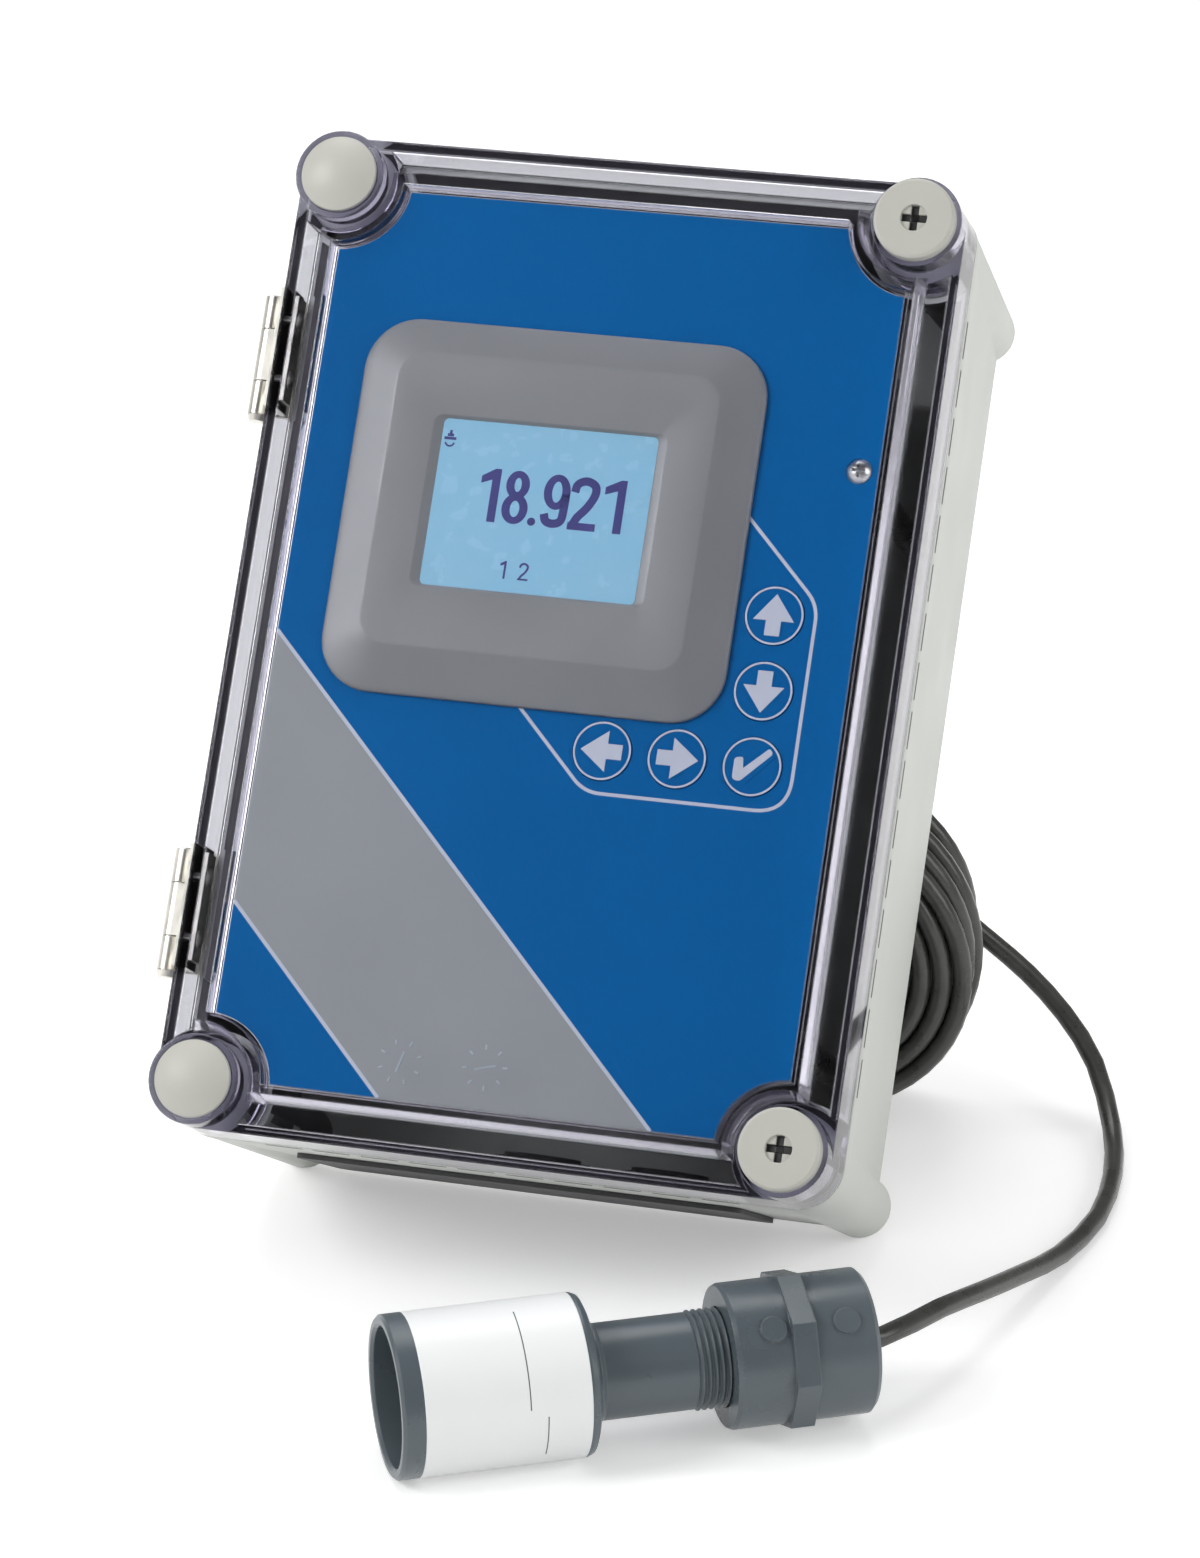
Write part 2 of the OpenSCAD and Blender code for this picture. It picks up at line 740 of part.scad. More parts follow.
// Raised frame: a low lip, a wide slope and a flat face round the screen
module display_bezel() {
    lip = 1.2;
    corner = 15;
    color(bezel_grey) place() translate([bezel_x, bezel_y, overlay_top]) difference() {
        union() {
            slab(0, lip) rounded(bezel_w, bezel_h, corner);
            hull() {
                slab(lip - eps, eps) rounded(bezel_w, bezel_h, corner, $fn = hull_fn);
                slab(bezel_t - eps, eps) rounded(bezel_w - 2 * bezel_slope, bezel_h - 2 * bezel_slope,
                    corner - 5, $fn = hull_fn);
            }
        }
        translate([screen_x - bezel_x, screen_y - bezel_y, 0]) {
            slab(-1, bezel_t + 2) rounded(screen_w, screen_h, 1.5);
            hull() {
                slab(lip, eps) rounded(screen_w, screen_h, 1.5, $fn = hull_fn);
                slab(bezel_t, 1) rounded(screen_w + 2.6, screen_h + 2.6, 2.5, $fn = hull_fn);
            }
        }
    }
}

module display_board() {
    color(board_green) place()
        translate([display_left, display_low, display_z])
            cube([display_right - display_left, display_high - display_low, board_t]);
}

module display_spacers() {
    inset = 4;
    beside_key = key_left_at.x - key_r - key_flange - inset;
    places = [
        [display_left + inset, display_low + inset],
        [display_left + inset, display_high - inset],
        [beside_key, display_low + inset],
        [display_right - inset, display_high - inset]
    ];
    color(nickel) place()
        for (at = places)
            translate([at.x, at.y, display_z + board_t]) cylinder(r = 2.8, h = spacer_h, $fn = 6);
}

module lcd_module() {
    color([0.3, 0.3, 0.3]) place() translate([screen_x, screen_y, display_z + board_t])
        slab(0, spacer_h - kiss) rounded(glass_w + lcd_frame, glass_h + lcd_frame, 1);
}

// Glass of the display, carried by its module and covered at its edges by the bezel
module lcd_screen() {
    low = display_z + board_t + spacer_h - kiss;
    color(screen_blue) place() translate([screen_x, screen_y, low])
        slab(0, overlay_top - kiss - low) rounded(glass_w, glass_h, 1);
}

module key_switches() {
    color([0.2, 0.2, 0.2]) place()
        for (at = key_places) translate([at.x, at.y, display_z + board_t]) {
            slab(0, 3.5) square(6.2, center = true);
            cylinder(r = 1.8, h = key_low - key_travel - kiss - display_z - board_t);
        }
}

// Block arrow that points along +y
module arrow_shape(size) {
    polygon(size * [[0, 0.58], [0.56, 0], [0.25, 0], [0.25, -0.5], [-0.25, -0.5], [-0.25, 0], [-0.56, 0]]);
}

module check_shape(size) {
    polygon(size * [[-0.58, 0.02], [-0.38, 0.22], [-0.16, -0.06], [0.46, 0.46], [0.62, 0.34], [-0.14, -0.5]]);
}

// Round key: a retained cap with a raised ring and a raised sign
module key_cap(at) {
    color(panel_blue) place() translate([at.x, at.y, 0]) {
        slab(key_low, key_flange_t) circle(r = key_r + key_flange);
        slab(key_low, overlay_top + key_proud - key_low) circle(r = key_r);
        slab(overlay_top + key_proud, relief) difference() {
            circle(r = key_r);
            circle(r = key_r - 0.6);
        }
        slab(overlay_top + key_proud, relief) children();
    }
}

sign_size = 10;

module key_up() {
    key_cap(key_up_at) arrow_shape(sign_size);
}

module key_down() {
    key_cap(key_down_at) rotate(180) arrow_shape(sign_size);
}

module key_left() {
    key_cap(key_left_at) rotate(90) arrow_shape(sign_size);
}

module key_right() {
    key_cap(key_right_at) rotate(-90) arrow_shape(sign_size);
}

module key_enter() {
    key_cap(key_enter_at) check_shape(sign_size);
}

// Knuckle along y, centred on the hinge axis
module knuckle(from, to) {
    translate([hinge_x, to, hinge_z]) rotate([90, 0, 0]) cylinder(r = barrel_r, h = to - from);
}

module pin_bore() {
    translate([hinge_x, hinge_len, hinge_z]) rotate([90, 0, 0])
        cylinder(r = pin_r + fit, h = 2 * hinge_len);
}

// Leaf on the base: plate, web and the two outer knuckles
module base_leaf() {
    outer = hinge_len / 2;
    inner = knuckle_len / 2 + 0.15;
    difference() {
        union() {
            translate([-half_w - leaf_t, -outer, base_web_z + leaf_t - base_leaf_h])
                cube([leaf_t, hinge_len, base_leaf_h]);
            translate([web_x, -outer, base_web_z]) cube([-half_w - web_x, hinge_len, leaf_t]);
            for (s = [-1, 1]) {
                low = s > 0 ? inner : -outer;
                translate([hinge_x, low, base_web_z]) cube([-half_w - hinge_x, outer - inner, leaf_t]);
                knuckle(low, low + outer - inner);
            }
        }
        pin_bore();
        rivet_places(base_rivet_z) translate([0, 0, -wall]) cylinder(r = rivet_r + fit, h = 2 * wall);
    }
}

// Leaf on the cover: plate, web and the middle knuckle
module cover_leaf() {
    inner = knuckle_len / 2 - 0.15;
    difference() {
        union() {
            translate([-half_w - leaf_t, -hinge_len / 2, cover_web_z])
                cube([leaf_t, hinge_len, cover_leaf_h]);
            translate([web_x, -hinge_len / 2, cover_web_z]) cube([-half_w - web_x, hinge_len, leaf_t]);
            translate([hinge_x, -inner, cover_web_z]) cube([-half_w - hinge_x, 2 * inner, leaf_t]);
            knuckle(-inner, inner);
        }
        pin_bore();
        rivet_places(cover_rivet_z) translate([0, 0, -wall]) cylinder(r = rivet_r + fit, h = 2 * wall);
    }
}

// Pin with a headed lower end
module hinge_pin() {
    cap = 1.8;
    translate([hinge_x, hinge_len / 2 + 0.6, hinge_z]) rotate([90, 0, 0]) {
        cylinder(r = pin_r, h = hinge_len + 0.6 + kiss);
        translate([0, 0, hinge_len + 0.6 + kiss]) cylinder(r1 = barrel_r, r2 = barrel_r - 0.6, h = cap);
    }
}

// Rivet from one domed head to the other, grip long, first head outside
module rivet(grip) {
    dome = 1.2;
    ball = (rivet_head_r * rivet_head_r + dome * dome) / (2 * dome);
    cylinder(r = rivet_r, h = grip);
    intersection() {
        translate([0, 0, ball - dome]) sphere(r = ball);
        translate([0, 0, -dome]) cylinder(r = rivet_head_r, h = dome);
    }
    intersection() {
        translate([0, 0, grip + dome - ball]) sphere(r = ball);
        translate([0, 0, grip]) cylinder(r = rivet_head_r, h = dome);
    }
}

module hinge_base_leaf_upper() {
    color(nickel) place() at_hinge(1) base_leaf();
}

module hinge_base_leaf_lower() {
    color(nickel) place() at_hinge(-1) base_leaf();
}

module hinge_cover_leaf_upper() {
    color(nickel) place() at_hinge(1) cover_leaf();
}

module hinge_cover_leaf_lower() {
    color(nickel) place() at_hinge(-1) cover_leaf();
}

module hinge_pin_upper() {
    color(nickel) place() at_hinge(1) hinge_pin();
}

module hinge_pin_lower() {
    color(nickel) place() at_hinge(-1) hinge_pin();
}

module base_rivets() {
    grip = leaf_t + pad_t;
    color(nickel) place()
        for (s = [-1, 1]) at_hinge(s) rivet_places(base_rivet_z) translate([0, 0, -leaf_t]) rivet(grip);
}

module cover_rivets() {
    grip = leaf_t + cover_wall + backing_t;
    color(nickel) place()
        for (s = [-1, 1]) at_hinge(s) rivet_places(cover_rivet_z) translate([0, 0, -leaf_t]) rivet(grip);
}

// Plate inside the cover that the rivets clamp
module backing_plate() {
    plate_h = 2 * rivet_head_r + 1.6;
    difference() {
        translate([-half_w + cover_wall, -hinge_len / 2 + 2, cover_rivet_z - plate_h / 2])
            cube([backing_t, hinge_len - 4, plate_h]);
        rivet_places(cover_rivet_z) cylinder(r = rivet_r + fit, h = 3 * wall);
    }
}

module hinge_backing_upper() {
    color(nickel) place() at_hinge(1) backing_plate();
}

module hinge_backing_lower() {
    color(nickel) place() at_hinge(-1) backing_plate();
}

// Raised window with sloping flanks, scooped round the corner towers
module window_block() {
    slope = window_flank / window_rise;
    foot_r = scallop_r - window_flank;
    difference() {
        hull() {
            slab(rim_z - eps, eps) square(2 * [win_w + window_flank, win_h + window_flank], center = true);
            slab(window_top - eps, eps) square(2 * [win_w, win_h], center = true);
        }
        at_posts() translate([0, 0, rim_z - 1])
            cylinder(r1 = foot_r - slope, r2 = scallop_r + slope, h = window_rise + 2);
    }
}

// Clear cover: side walls, ledge, raised window and four corner towers
module clear_cover() {
    color(clear_tint) place() difference() {
        union() {
            slab(cover_z, skirt_h) case_outline();
            window_block();
            at_posts() translate([0, 0, cover_z]) cylinder(r = post_r, h = tower_top - cover_z);
        }
        slab(cover_z - 1, skirt_h - cover_wall + 1)
            scooped(half_w - cover_wall, half_h - cover_wall, post_r + tower_web);
        slab(cover_z - 1, window_under - cover_z + 1)
            scooped(win_w - cover_wall, win_h - cover_wall, scallop_r + cover_wall);
        for (s = [-1, 1]) {
            translate([px, s * py, cover_z - 1]) cylinder(r = well_r, h = tower_top);
            translate([-px, s * py, tower_top - cap_seat]) cylinder(r = cap_r + slack, h = cap_seat + 1);
            at_hinge(s) rivet_places(cover_rivet_z)
                translate([0, 0, -1]) cylinder(r = rivet_r + fit, h = cover_wall + 2);
        }
    }
}

// Domed cap pressed into the tower on the hinge side
module corner_cap(side) {
    rim = 3;
    ball = (cap_r * cap_r + dome_h * dome_h) / (2 * dome_h);
    color(cap_grey) place() translate([-px, side * py, tower_top - cap_seat + kiss]) intersection() {
        cylinder(r = cap_r, h = rim + dome_h);
        translate([0, 0, rim + dome_h - ball]) sphere(r = ball);
    }
}

module cover_cap_upper() {
    corner_cap(1);
}

module cover_cap_lower() {
    corner_cap(-1);
}

// Shank of a cover screw, down from z = 0, with thread rings below its neck
module screw_shank(reach) {
    neck = 4;
    teeth = floor((reach - neck) / screw_pitch);
    rotate_extrude() polygon(concat(
        [[0, -reach]],
        [for (i = [0:teeth - 1], k = [0, 1])
            [shank_r + k * screw_tooth, -reach + (i + 0.5 * k + 0.2) * screw_pitch]],
        [[shank_r, -neck], [shank_r, 1], [0, 1]]
    ));
}

// Captive cover screw: a wide flat head with a cross recess and a threaded shank
module cover_screw(side) {
    edge = 0.7;
    color(cap_grey) place() translate([px, side * py, tower_top + kiss]) difference() {
        union() {
            cylinder(r = head_r, h = head_h - edge);
            translate([0, 0, head_h - edge]) cylinder(r1 = head_r, r2 = head_r - edge, h = edge);
            screw_shank(tower_top - seam_z + shank_reach);
        }
        translate([0, 0, head_h - 0.7]) cylinder(r = 3.7, h = 1);
        translate([0, 0, head_h]) cross_drive(7.2, 2.2, 3.2);
    }
}

module cover_screw_upper() {
    cover_screw(1);
}

module cover_screw_lower() {
    cover_screw(-1);
}

// Turned profile of the transducer: open cup, label waist, stem and pipe thread
module sensor_body() {
    edge = 0.8;
    waist_r = body_r - label_t - kiss;
    thread_from = coupling_at - thread_show;
    teeth = floor((stem_end - thread_from) / thread_pitch);
    root_r = thread_r - 1;
    cup_r = mouth_r - 0.8;
    seat = mouth_depth + face_t;
    color(pvc_grey) sensor_place() rotate_extrude() polygon(concat(
        [[0, seat], [cup_r, seat], [cup_r, mouth_depth], [mouth_r, edge], [mouth_r + edge, 0]],
        [[body_r - edge, 0], [body_r, edge], [body_r, lip_len], [waist_r, lip_len]],
        [[waist_r, body_len - rear_lip], [body_r, body_len - rear_lip], [body_r, body_len - 2]],
        [[body_r - 0.6, body_len - 0.6], [body_r - 2, body_len], [stem_r + 1.2, body_len]],
        [[stem_r + 1.2, body_len + 2], [stem_r, body_len + 3.2], [stem_r, thread_from]],
        [for (i = [0:teeth - 1], k = [0, 1])
            [k == 0 ? root_r : thread_r, thread_from + (i + 0.5 * k + 0.2) * thread_pitch]],
        [[root_r, stem_end], [0, stem_end]]
    ));
}

// Sounding face at the bottom of the cup
module transducer_face() {
    color([0.16, 0.18, 0.19]) sensor_place() translate([0, 0, mouth_depth])
        rotate_extrude() polygon([
            [0, 0.6], [9, 0.6], [10, 0], [mouth_r - 0.8 - fit, 0], [mouth_r - 0.8 - fit, face_t], [0, face_t]
        ]);
}

// Bare sleeve in the waist of the body
module sensor_label() {
    inner = body_r - label_t - kiss;
    color([0.93, 0.94, 0.94]) sensor_place() translate([0, 0, lip_len + kiss]) difference() {
        cylinder(r = inner + label_t, h = body_len - rear_lip - lip_len - 2 * kiss);
        translate([0, 0, -1]) cylinder(r = inner, h = body_len);
    }
}

// Pipe coupling with an eight-sided band and round gate marks
module pipe_coupling() {
    edge = 1.2;
    bore_r = thread_r + fit;
    gate_turn = 225;
    color(pvc_grey) sensor_place() difference() {
        union() {
            translate([0, 0, coupling_at]) cylinder(r1 = coupling_r - edge / 2, r2 = coupling_r, h = edge);
            translate([0, 0, coupling_at + edge]) cylinder(r = coupling_r, h = coupling_len - 2 * edge);
            translate([0, 0, sensor_len - edge]) cylinder(r1 = coupling_r, r2 = coupling_r - edge, h = edge);
            translate([0, 0, band_at - band_w / 2]) cylinder(r = body_r, h = band_w, $fn = 8);
            for (at = [coupling_at + 0.27 * coupling_len, coupling_at + 0.78 * coupling_len])
                rotate([0, 0, gate_turn]) translate([coupling_r - 2, 0, at]) rotate([0, 90, 0])
                    cylinder(r = gate_r, h = 2.7);
        }
        translate([0, 0, coupling_at - 1]) cylinder(r = bore_r, h = coupling_len + 2);
        translate([0, 0, sensor_len - 2]) cylinder(r1 = bore_r, r2 = bore_r + 1.2, h = 2 + eps);
    }
}

// Smooth curve through the route's points
function clamp_index(i) = min(max(i, 0), len(route) - 1);
function curve_point(i, t) =
    let (a = route[clamp_index(i - 1)], b = route[i])
    let (c = route[clamp_index(i + 1)], d = route[clamp_index(i + 2)])
    0.5 * (2 * b + (c - a) * t + (2 * a - 5 * b + 4 * c - d) * t * t + (3 * b - a - 3 * c + d) * t * t * t);
path = concat(
    [for (i = [0:len(route) - 2], k = [0:route_steps - 1]) curve_point(i, k / route_steps)],
    [route[len(route) - 1]]
);

function unit(v) = v / norm(v);
function heading(i) =
    unit(path[min(i + 1, len(path) - 1)] - path[max(i - 1, 0)]);
function ring(i) =
    let (t = heading(i), s = unit(cross(t, [0, 0, 1])), u = cross(s, t))
    [for (k = [0:cable_sides - 1])
        path[i] + cable_r * (cos(360 * k / cable_sides) * s + sin(360 * k / cable_sides) * u)];

// Tube swept along the route
module sensor_cable() {
    n = cable_sides;
    last = len(path) - 1;
    points = [for (i = [0:last]) each ring(i)];
    sides = [for (i = [0:last - 1], k = [0:n - 1], half = [0, 1])
        let (a = i * n + k, b = i * n + (k + 1) % n, c = b + n, d = a + n)
        half == 0 ? [a, b, c] : [a, c, d]];
    near_cap = [for (k = [0:n - 1]) n - 1 - k];
    far_cap = [for (k = [0:n - 1]) last * n + k];
    color(cable_black) polyhedron(points, concat([near_cap], sides, [far_cap]));
}

// Section of the bundle of turns, grown all round
module bundle_outline(grow) {
    rounded(2 * (bundle_r + grow), 2 * (bundle_w + grow), bundle_round + grow);
}

// Outer shape of the coil, standing on its rim behind the enclosure
module cable_coil() {
    color(cable_black) translate(coil_at) rotate([90, 0, 0])
        rotate_extrude() translate([coil_r, 0]) bundle_outline(0);
}

// Strap round the bundle, on the hidden side of the coil
module coil_tie() {
    strap_t = 0.9;
    strap_in = 0.4;
    strap_w = 8;
    tie_turn = 160;
    color([0.12, 0.12, 0.12]) translate(coil_at) rotate([90, 0, 0]) rotate([0, 0, tie_turn])
        translate([coil_r, strap_w / 2, 0]) rotate([90, 0, 0]) difference() {
            slab(0, strap_w) bundle_outline(strap_in + strap_t);
            slab(-1, strap_w + 2) bundle_outline(strap_in);
        }
}

base_housing();
cover_gasket();
board_standoffs();
main_board();
power_transformer();
output_relays();
power_terminals();
signal_terminals();
filter_capacitors();
ribbon_lead();
entry_plate();
panel_pillars();
face_panel();
face_overlay();
panel_screw();
display_bezel();
display_board();
display_spacers();
lcd_module();
lcd_screen();
key_switches();
key_up();
key_down();
key_left();
key_right();
key_enter();
hinge_base_leaf_upper();
hinge_base_leaf_lower();
hinge_pin_upper();
hinge_pin_lower();
base_rivets();
clear_cover();
cover_cap_upper();
cover_cap_lower();
hinge_cover_leaf_upper();
hinge_cover_leaf_lower();
hinge_backing_upper();
hinge_backing_lower();
cover_rivets();
cover_screw_upper();
cover_screw_lower();
sensor_body();
transducer_face();
sensor_label();
pipe_coupling();
sensor_cable();
cable_coil();
coil_tie();
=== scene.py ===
"""Looks of a wall-mount ultrasonic level monitor with its transducer, cable and cable coil.

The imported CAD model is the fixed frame, in metres. Sizes here are millimetres. FACE carries a point
of the enclosure's own frame (x right, y up the face, z out of the front) to the row frame.
"""

import json
import math

import bmesh
import bpy
from mathutils import Matrix, Vector


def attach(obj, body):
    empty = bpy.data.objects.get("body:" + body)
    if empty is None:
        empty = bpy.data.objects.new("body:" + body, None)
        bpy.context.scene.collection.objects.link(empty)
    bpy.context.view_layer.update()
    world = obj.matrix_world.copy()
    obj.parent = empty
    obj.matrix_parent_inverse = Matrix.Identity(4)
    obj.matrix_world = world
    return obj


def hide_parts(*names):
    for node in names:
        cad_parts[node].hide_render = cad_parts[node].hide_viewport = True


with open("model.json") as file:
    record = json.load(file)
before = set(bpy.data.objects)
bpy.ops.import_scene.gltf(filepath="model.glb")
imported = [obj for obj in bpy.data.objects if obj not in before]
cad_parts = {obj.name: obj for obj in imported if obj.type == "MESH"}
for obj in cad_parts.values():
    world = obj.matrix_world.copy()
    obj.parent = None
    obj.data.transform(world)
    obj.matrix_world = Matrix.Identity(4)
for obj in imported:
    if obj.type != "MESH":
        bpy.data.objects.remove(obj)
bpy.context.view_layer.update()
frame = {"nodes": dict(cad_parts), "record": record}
nodes = frame["nodes"]
scene = bpy.context.scene
MM = 0.001

# Place of the enclosure, as in the part's source
LEAN = math.radians(33.4)
MONITOR_X = -6.0
MONITOR_Y = 92.0
POST_X = 82.0
POST_Y = 127.6
HALF_W = 94.5
HALF_H = 140.1
SEAM_Z = 91.0
SCREW_TOP = 119.3
FOOT_R = 9.0
FOOT_ROUND = 3.0
FOOT_PROUD = 1.5
SIDE_TAPER = 8
END_TAPER = 6
# Inset from the walls of the painted shade inside the enclosure
INSIDE_SHADE_INSET = 1.5
LIFT = (POST_Y + FOOT_R - FOOT_ROUND) * math.cos(LEAN) - FOOT_ROUND * math.sin(LEAN) + FOOT_ROUND
FACE = (
    Matrix.Translation(Vector((MONITOR_X, MONITOR_Y, LIFT)) * MM)
    @ Matrix.Rotation(math.pi / 2 - LEAN, 4, "X")
    @ Matrix.Scale(MM, 4)
)

# Heights along the enclosure's own z
WINDOW_UNDER = 113.4
OVERLAY_TOP = 107.4
SCREEN_TOP = 111.6
KEY_TOP = 107.75
PRINT_T = 0.04

# Face sizes
PANEL_W = 80.7
PANEL_H = 125.9
BEZEL_AT = (-10.4, 37.2)
BEZEL_W = 114.4
BEZEL_H = 105.6
SCREEN_AT = (-11.1, 38.5)
SCREEN_W = 60.9
SCREEN_H = 46.9
SCREEN_ROUND = 1.5
KEY_R = 8.15
KEY_PITCH = 20.9
ENTER_AT = (57.4, -25.0)

# Transducer and cable
SENSOR_YAW = math.radians(30)
SENSOR_DIR = Vector((math.cos(SENSOR_YAW), math.sin(SENSOR_YAW), 0))
MOUTH_AT = Vector((MONITOR_X - 5, MONITOR_Y - 239.5, 21.7))
STEM_END = 110.0
SENSOR_LEN = 129.0
CABLE_R = 2.85
COIL_R = 38.0
BUNDLE_R = 14.2
BUNDLE_W = 17.6
BUNDLE_ROUND = 7.0
COIL_DX = 46.0
COIL_GAP = 0.3


def srgb(red, green, blue):
    """Linear colour of an sRGB colour given in 0 to 255."""
    def linear(value):
        share = value / 255
        return share / 12.92 if share <= 0.04045 else ((share + 0.055) / 1.055) ** 2.4
    return (linear(red), linear(green), linear(blue))


# Materials

def new_material(name):
    mat = bpy.data.materials.new(name)
    mat.use_nodes = True
    return mat, mat.node_tree, mat.node_tree.nodes["Principled BSDF"]


def add(tree, kind, sockets=None, **attributes):
    """New shader node with the given attributes and socket values."""
    node = tree.nodes.new(kind)
    for key, value in attributes.items():
        setattr(node, key, value)
    for key, value in (sockets or {}).items():
        node.inputs[key].default_value = value
    return node


def noise(tree, size, detail=3.0, stretch=(1, 1, 1)):
    """Noise with features about size millimetres long, in the piece's own frame."""
    coords = add(tree, "ShaderNodeTexCoord")
    mapping = add(tree, "ShaderNodeMapping", {"Scale": stretch})
    texture = add(tree, "ShaderNodeTexNoise", {"Scale": 1 / (size * MM), "Detail": detail})
    tree.links.new(coords.outputs["Object"], mapping.inputs["Vector"])
    tree.links.new(mapping.outputs["Vector"], texture.inputs["Vector"])
    return texture.outputs["Fac"]


def ranged(tree, value, low, high, start=0.3, stop=0.7):
    """Value carried from start..stop to low..high."""
    node = add(
        tree, "ShaderNodeMapRange",
        {"From Min": start, "From Max": stop, "To Min": low, "To Max": high},
    )
    tree.links.new(value, node.inputs["Value"])
    return node.outputs["Result"]


def mixed(tree, share, first, second):
    """Colour between two colours; each is a colour or an output socket."""
    node = add(tree, "ShaderNodeMix", data_type="RGBA")
    tree.links.new(share, node.inputs["Factor"])
    for socket, colour in ((node.inputs["A"], first), (node.inputs["B"], second)):
        if isinstance(colour, tuple):
            socket.default_value = (*colour, 1)
        else:
            tree.links.new(colour, socket)
    return node.outputs["Result"]


def combined(tree, operation, first, second):
    """Result of a math node on two values; each is a number or an output socket."""
    node = add(tree, "ShaderNodeMath", operation=operation)
    for socket, value in zip(node.inputs, (first, second)):
        if isinstance(value, float):
            socket.default_value = value
        else:
            tree.links.new(value, socket)
    return node.outputs["Value"]


def shaded(colour, share):
    """Colour made darker by a share."""
    return tuple(c * (1 - share) for c in colour)


def rounded_normal(tree, radius):
    """Normal with edges softened by radius millimetres."""
    return add(tree, "ShaderNodeBevel", {"Radius": radius * MM}, samples=4).outputs["Normal"]


def bumped(tree, height, depth, normal=None):
    node = add(tree, "ShaderNodeBump", {"Strength": 0.6, "Distance": depth * MM})
    tree.links.new(height, node.inputs["Height"])
    if normal is not None:
        tree.links.new(normal, node.inputs["Normal"])
    return node.outputs["Normal"]


def edge_share(tree, normal):
    """Share that rises from 0 on flats to 1 on softened edges."""
    geometry = add(tree, "ShaderNodeNewGeometry")
    dot = add(tree, "ShaderNodeVectorMath", operation="DOT_PRODUCT")
    tree.links.new(normal, dot.inputs[0])
    tree.links.new(geometry.outputs["Normal"], dot.inputs[1])
    return ranged(tree, dot.outputs["Value"], 1, 0, 0.75, 1.0)


def behind_share(tree, spot, outward, reach):
    """1 where a spot lies less than reach millimetres along a direction, 0 past it."""
    along = add(tree, "ShaderNodeVectorMath", {1: outward}, operation="DOT_PRODUCT")
    tree.links.new(spot, along.inputs[0])
    return ranged(tree, along.outputs["Value"], 1, 0, (reach - 0.1) * MM, reach * MM)


def inside_shade_share(tree):
    """Mask of the painted shade: 1 on the faces inside the enclosure that look towards its middle axis, 0
    on the others.
    """
    turn = (LEAN - math.pi / 2, 0, 0)
    start = Matrix.Rotation(turn[0], 3, "X") @ Vector((MONITOR_X, MONITOR_Y, LIFT)) * -MM
    coords = add(tree, "ShaderNodeTexCoord")
    geometry = add(tree, "ShaderNodeNewGeometry")
    place = add(tree, "ShaderNodeMapping", {"Rotation": turn, "Location": start})
    facing = add(tree, "ShaderNodeMapping", {"Rotation": turn}, vector_type="VECTOR")
    flat = add(tree, "ShaderNodeVectorMath", {1: (1, 1, 0)}, operation="MULTIPLY")
    dot = add(tree, "ShaderNodeVectorMath", operation="DOT_PRODUCT")
    tree.links.new(coords.outputs["Object"], place.inputs["Vector"])
    tree.links.new(geometry.outputs["True Normal"], facing.inputs["Vector"])
    tree.links.new(place.outputs["Vector"], flat.inputs[0])
    tree.links.new(flat.outputs["Vector"], dot.inputs[0])
    tree.links.new(facing.outputs["Vector"], dot.inputs[1])
    spot = add(tree, "ShaderNodeVectorMath", operation="ABSOLUTE")
    tree.links.new(place.outputs["Vector"], spot.inputs[0])
    share = ranged(tree, dot.outputs["Value"], 1, 0, -0.03, -0.02)
    side_slope = SIDE_TAPER / (SEAM_Z - FOOT_PROUD)
    end_slope = END_TAPER / (SEAM_Z - FOOT_PROUD)
    walls = [
        ((1, 0, -side_slope), HALF_W - side_slope * SEAM_Z),
        ((0, 1, -end_slope), HALF_H - end_slope * SEAM_Z),
        ((0, 0, -1), -FOOT_PROUD),
    ]
    for outward, reach in walls:
        within = behind_share(tree, spot.outputs["Vector"], outward, reach - INSIDE_SHADE_INSET)
        share = combined(tree, "MULTIPLY", share, within)
    return share


def moulded(
    name, colour, rough=0.45, spread=0.08, grain=0.5, depth=0.02, edge=0.5, shade=0.08, wear=0.12,
    shine=0.5, inside_shade=None,
):
    """Moulded plastic: faint mottling, a fine grain, softened and slightly rubbed edges.

    A painted shade colour covers the faces that look into the enclosure, standing in for the shade inside
    it.
    """
    mat, tree, bsdf = new_material(name)
    fine = noise(tree, grain)
    coarse = noise(tree, 22, 5)
    normal = rounded_normal(tree, edge)
    dark = shaded(colour, shade)
    pale = tuple(c + (1 - c) * wear for c in colour)
    bsdf.inputs["Specular IOR Level"].default_value = shine
    body = mixed(tree, ranged(tree, coarse, 0, 1), dark, colour)
    worn_and_shaded = mixed(tree, edge_share(tree, normal), body, pale)
    # Painted shade over the faces inside the enclosure
    if inside_shade is not None:
        worn_and_shaded = mixed(tree, inside_shade_share(tree), worn_and_shaded, inside_shade)
    tree.links.new(worn_and_shaded, bsdf.inputs["Base Color"])
    tree.links.new(ranged(tree, coarse, rough - spread, rough + spread), bsdf.inputs["Roughness"])
    tree.links.new(bumped(tree, fine, depth, normal), bsdf.inputs["Normal"])
    return mat


def plated(name, colour, rough=0.22, stretch=(1, 1, 1)):
    """Plated metal: fine scratches along one direction and cloudy gloss."""
    mat, tree, bsdf = new_material(name)
    scratches = noise(tree, 0.6, 2, stretch)
    cloud = noise(tree, 6, 4)
    normal = rounded_normal(tree, 0.3)
    bsdf.inputs["Metallic"].default_value = 1
    dark = shaded(colour, 0.18)
    tree.links.new(mixed(tree, ranged(tree, cloud, 0, 1), dark, colour), bsdf.inputs["Base Color"])
    tree.links.new(ranged(tree, cloud, rough - 0.07, rough + 0.1), bsdf.inputs["Roughness"])
    tree.links.new(bumped(tree, scratches, 0.012, normal), bsdf.inputs["Normal"])
    return mat


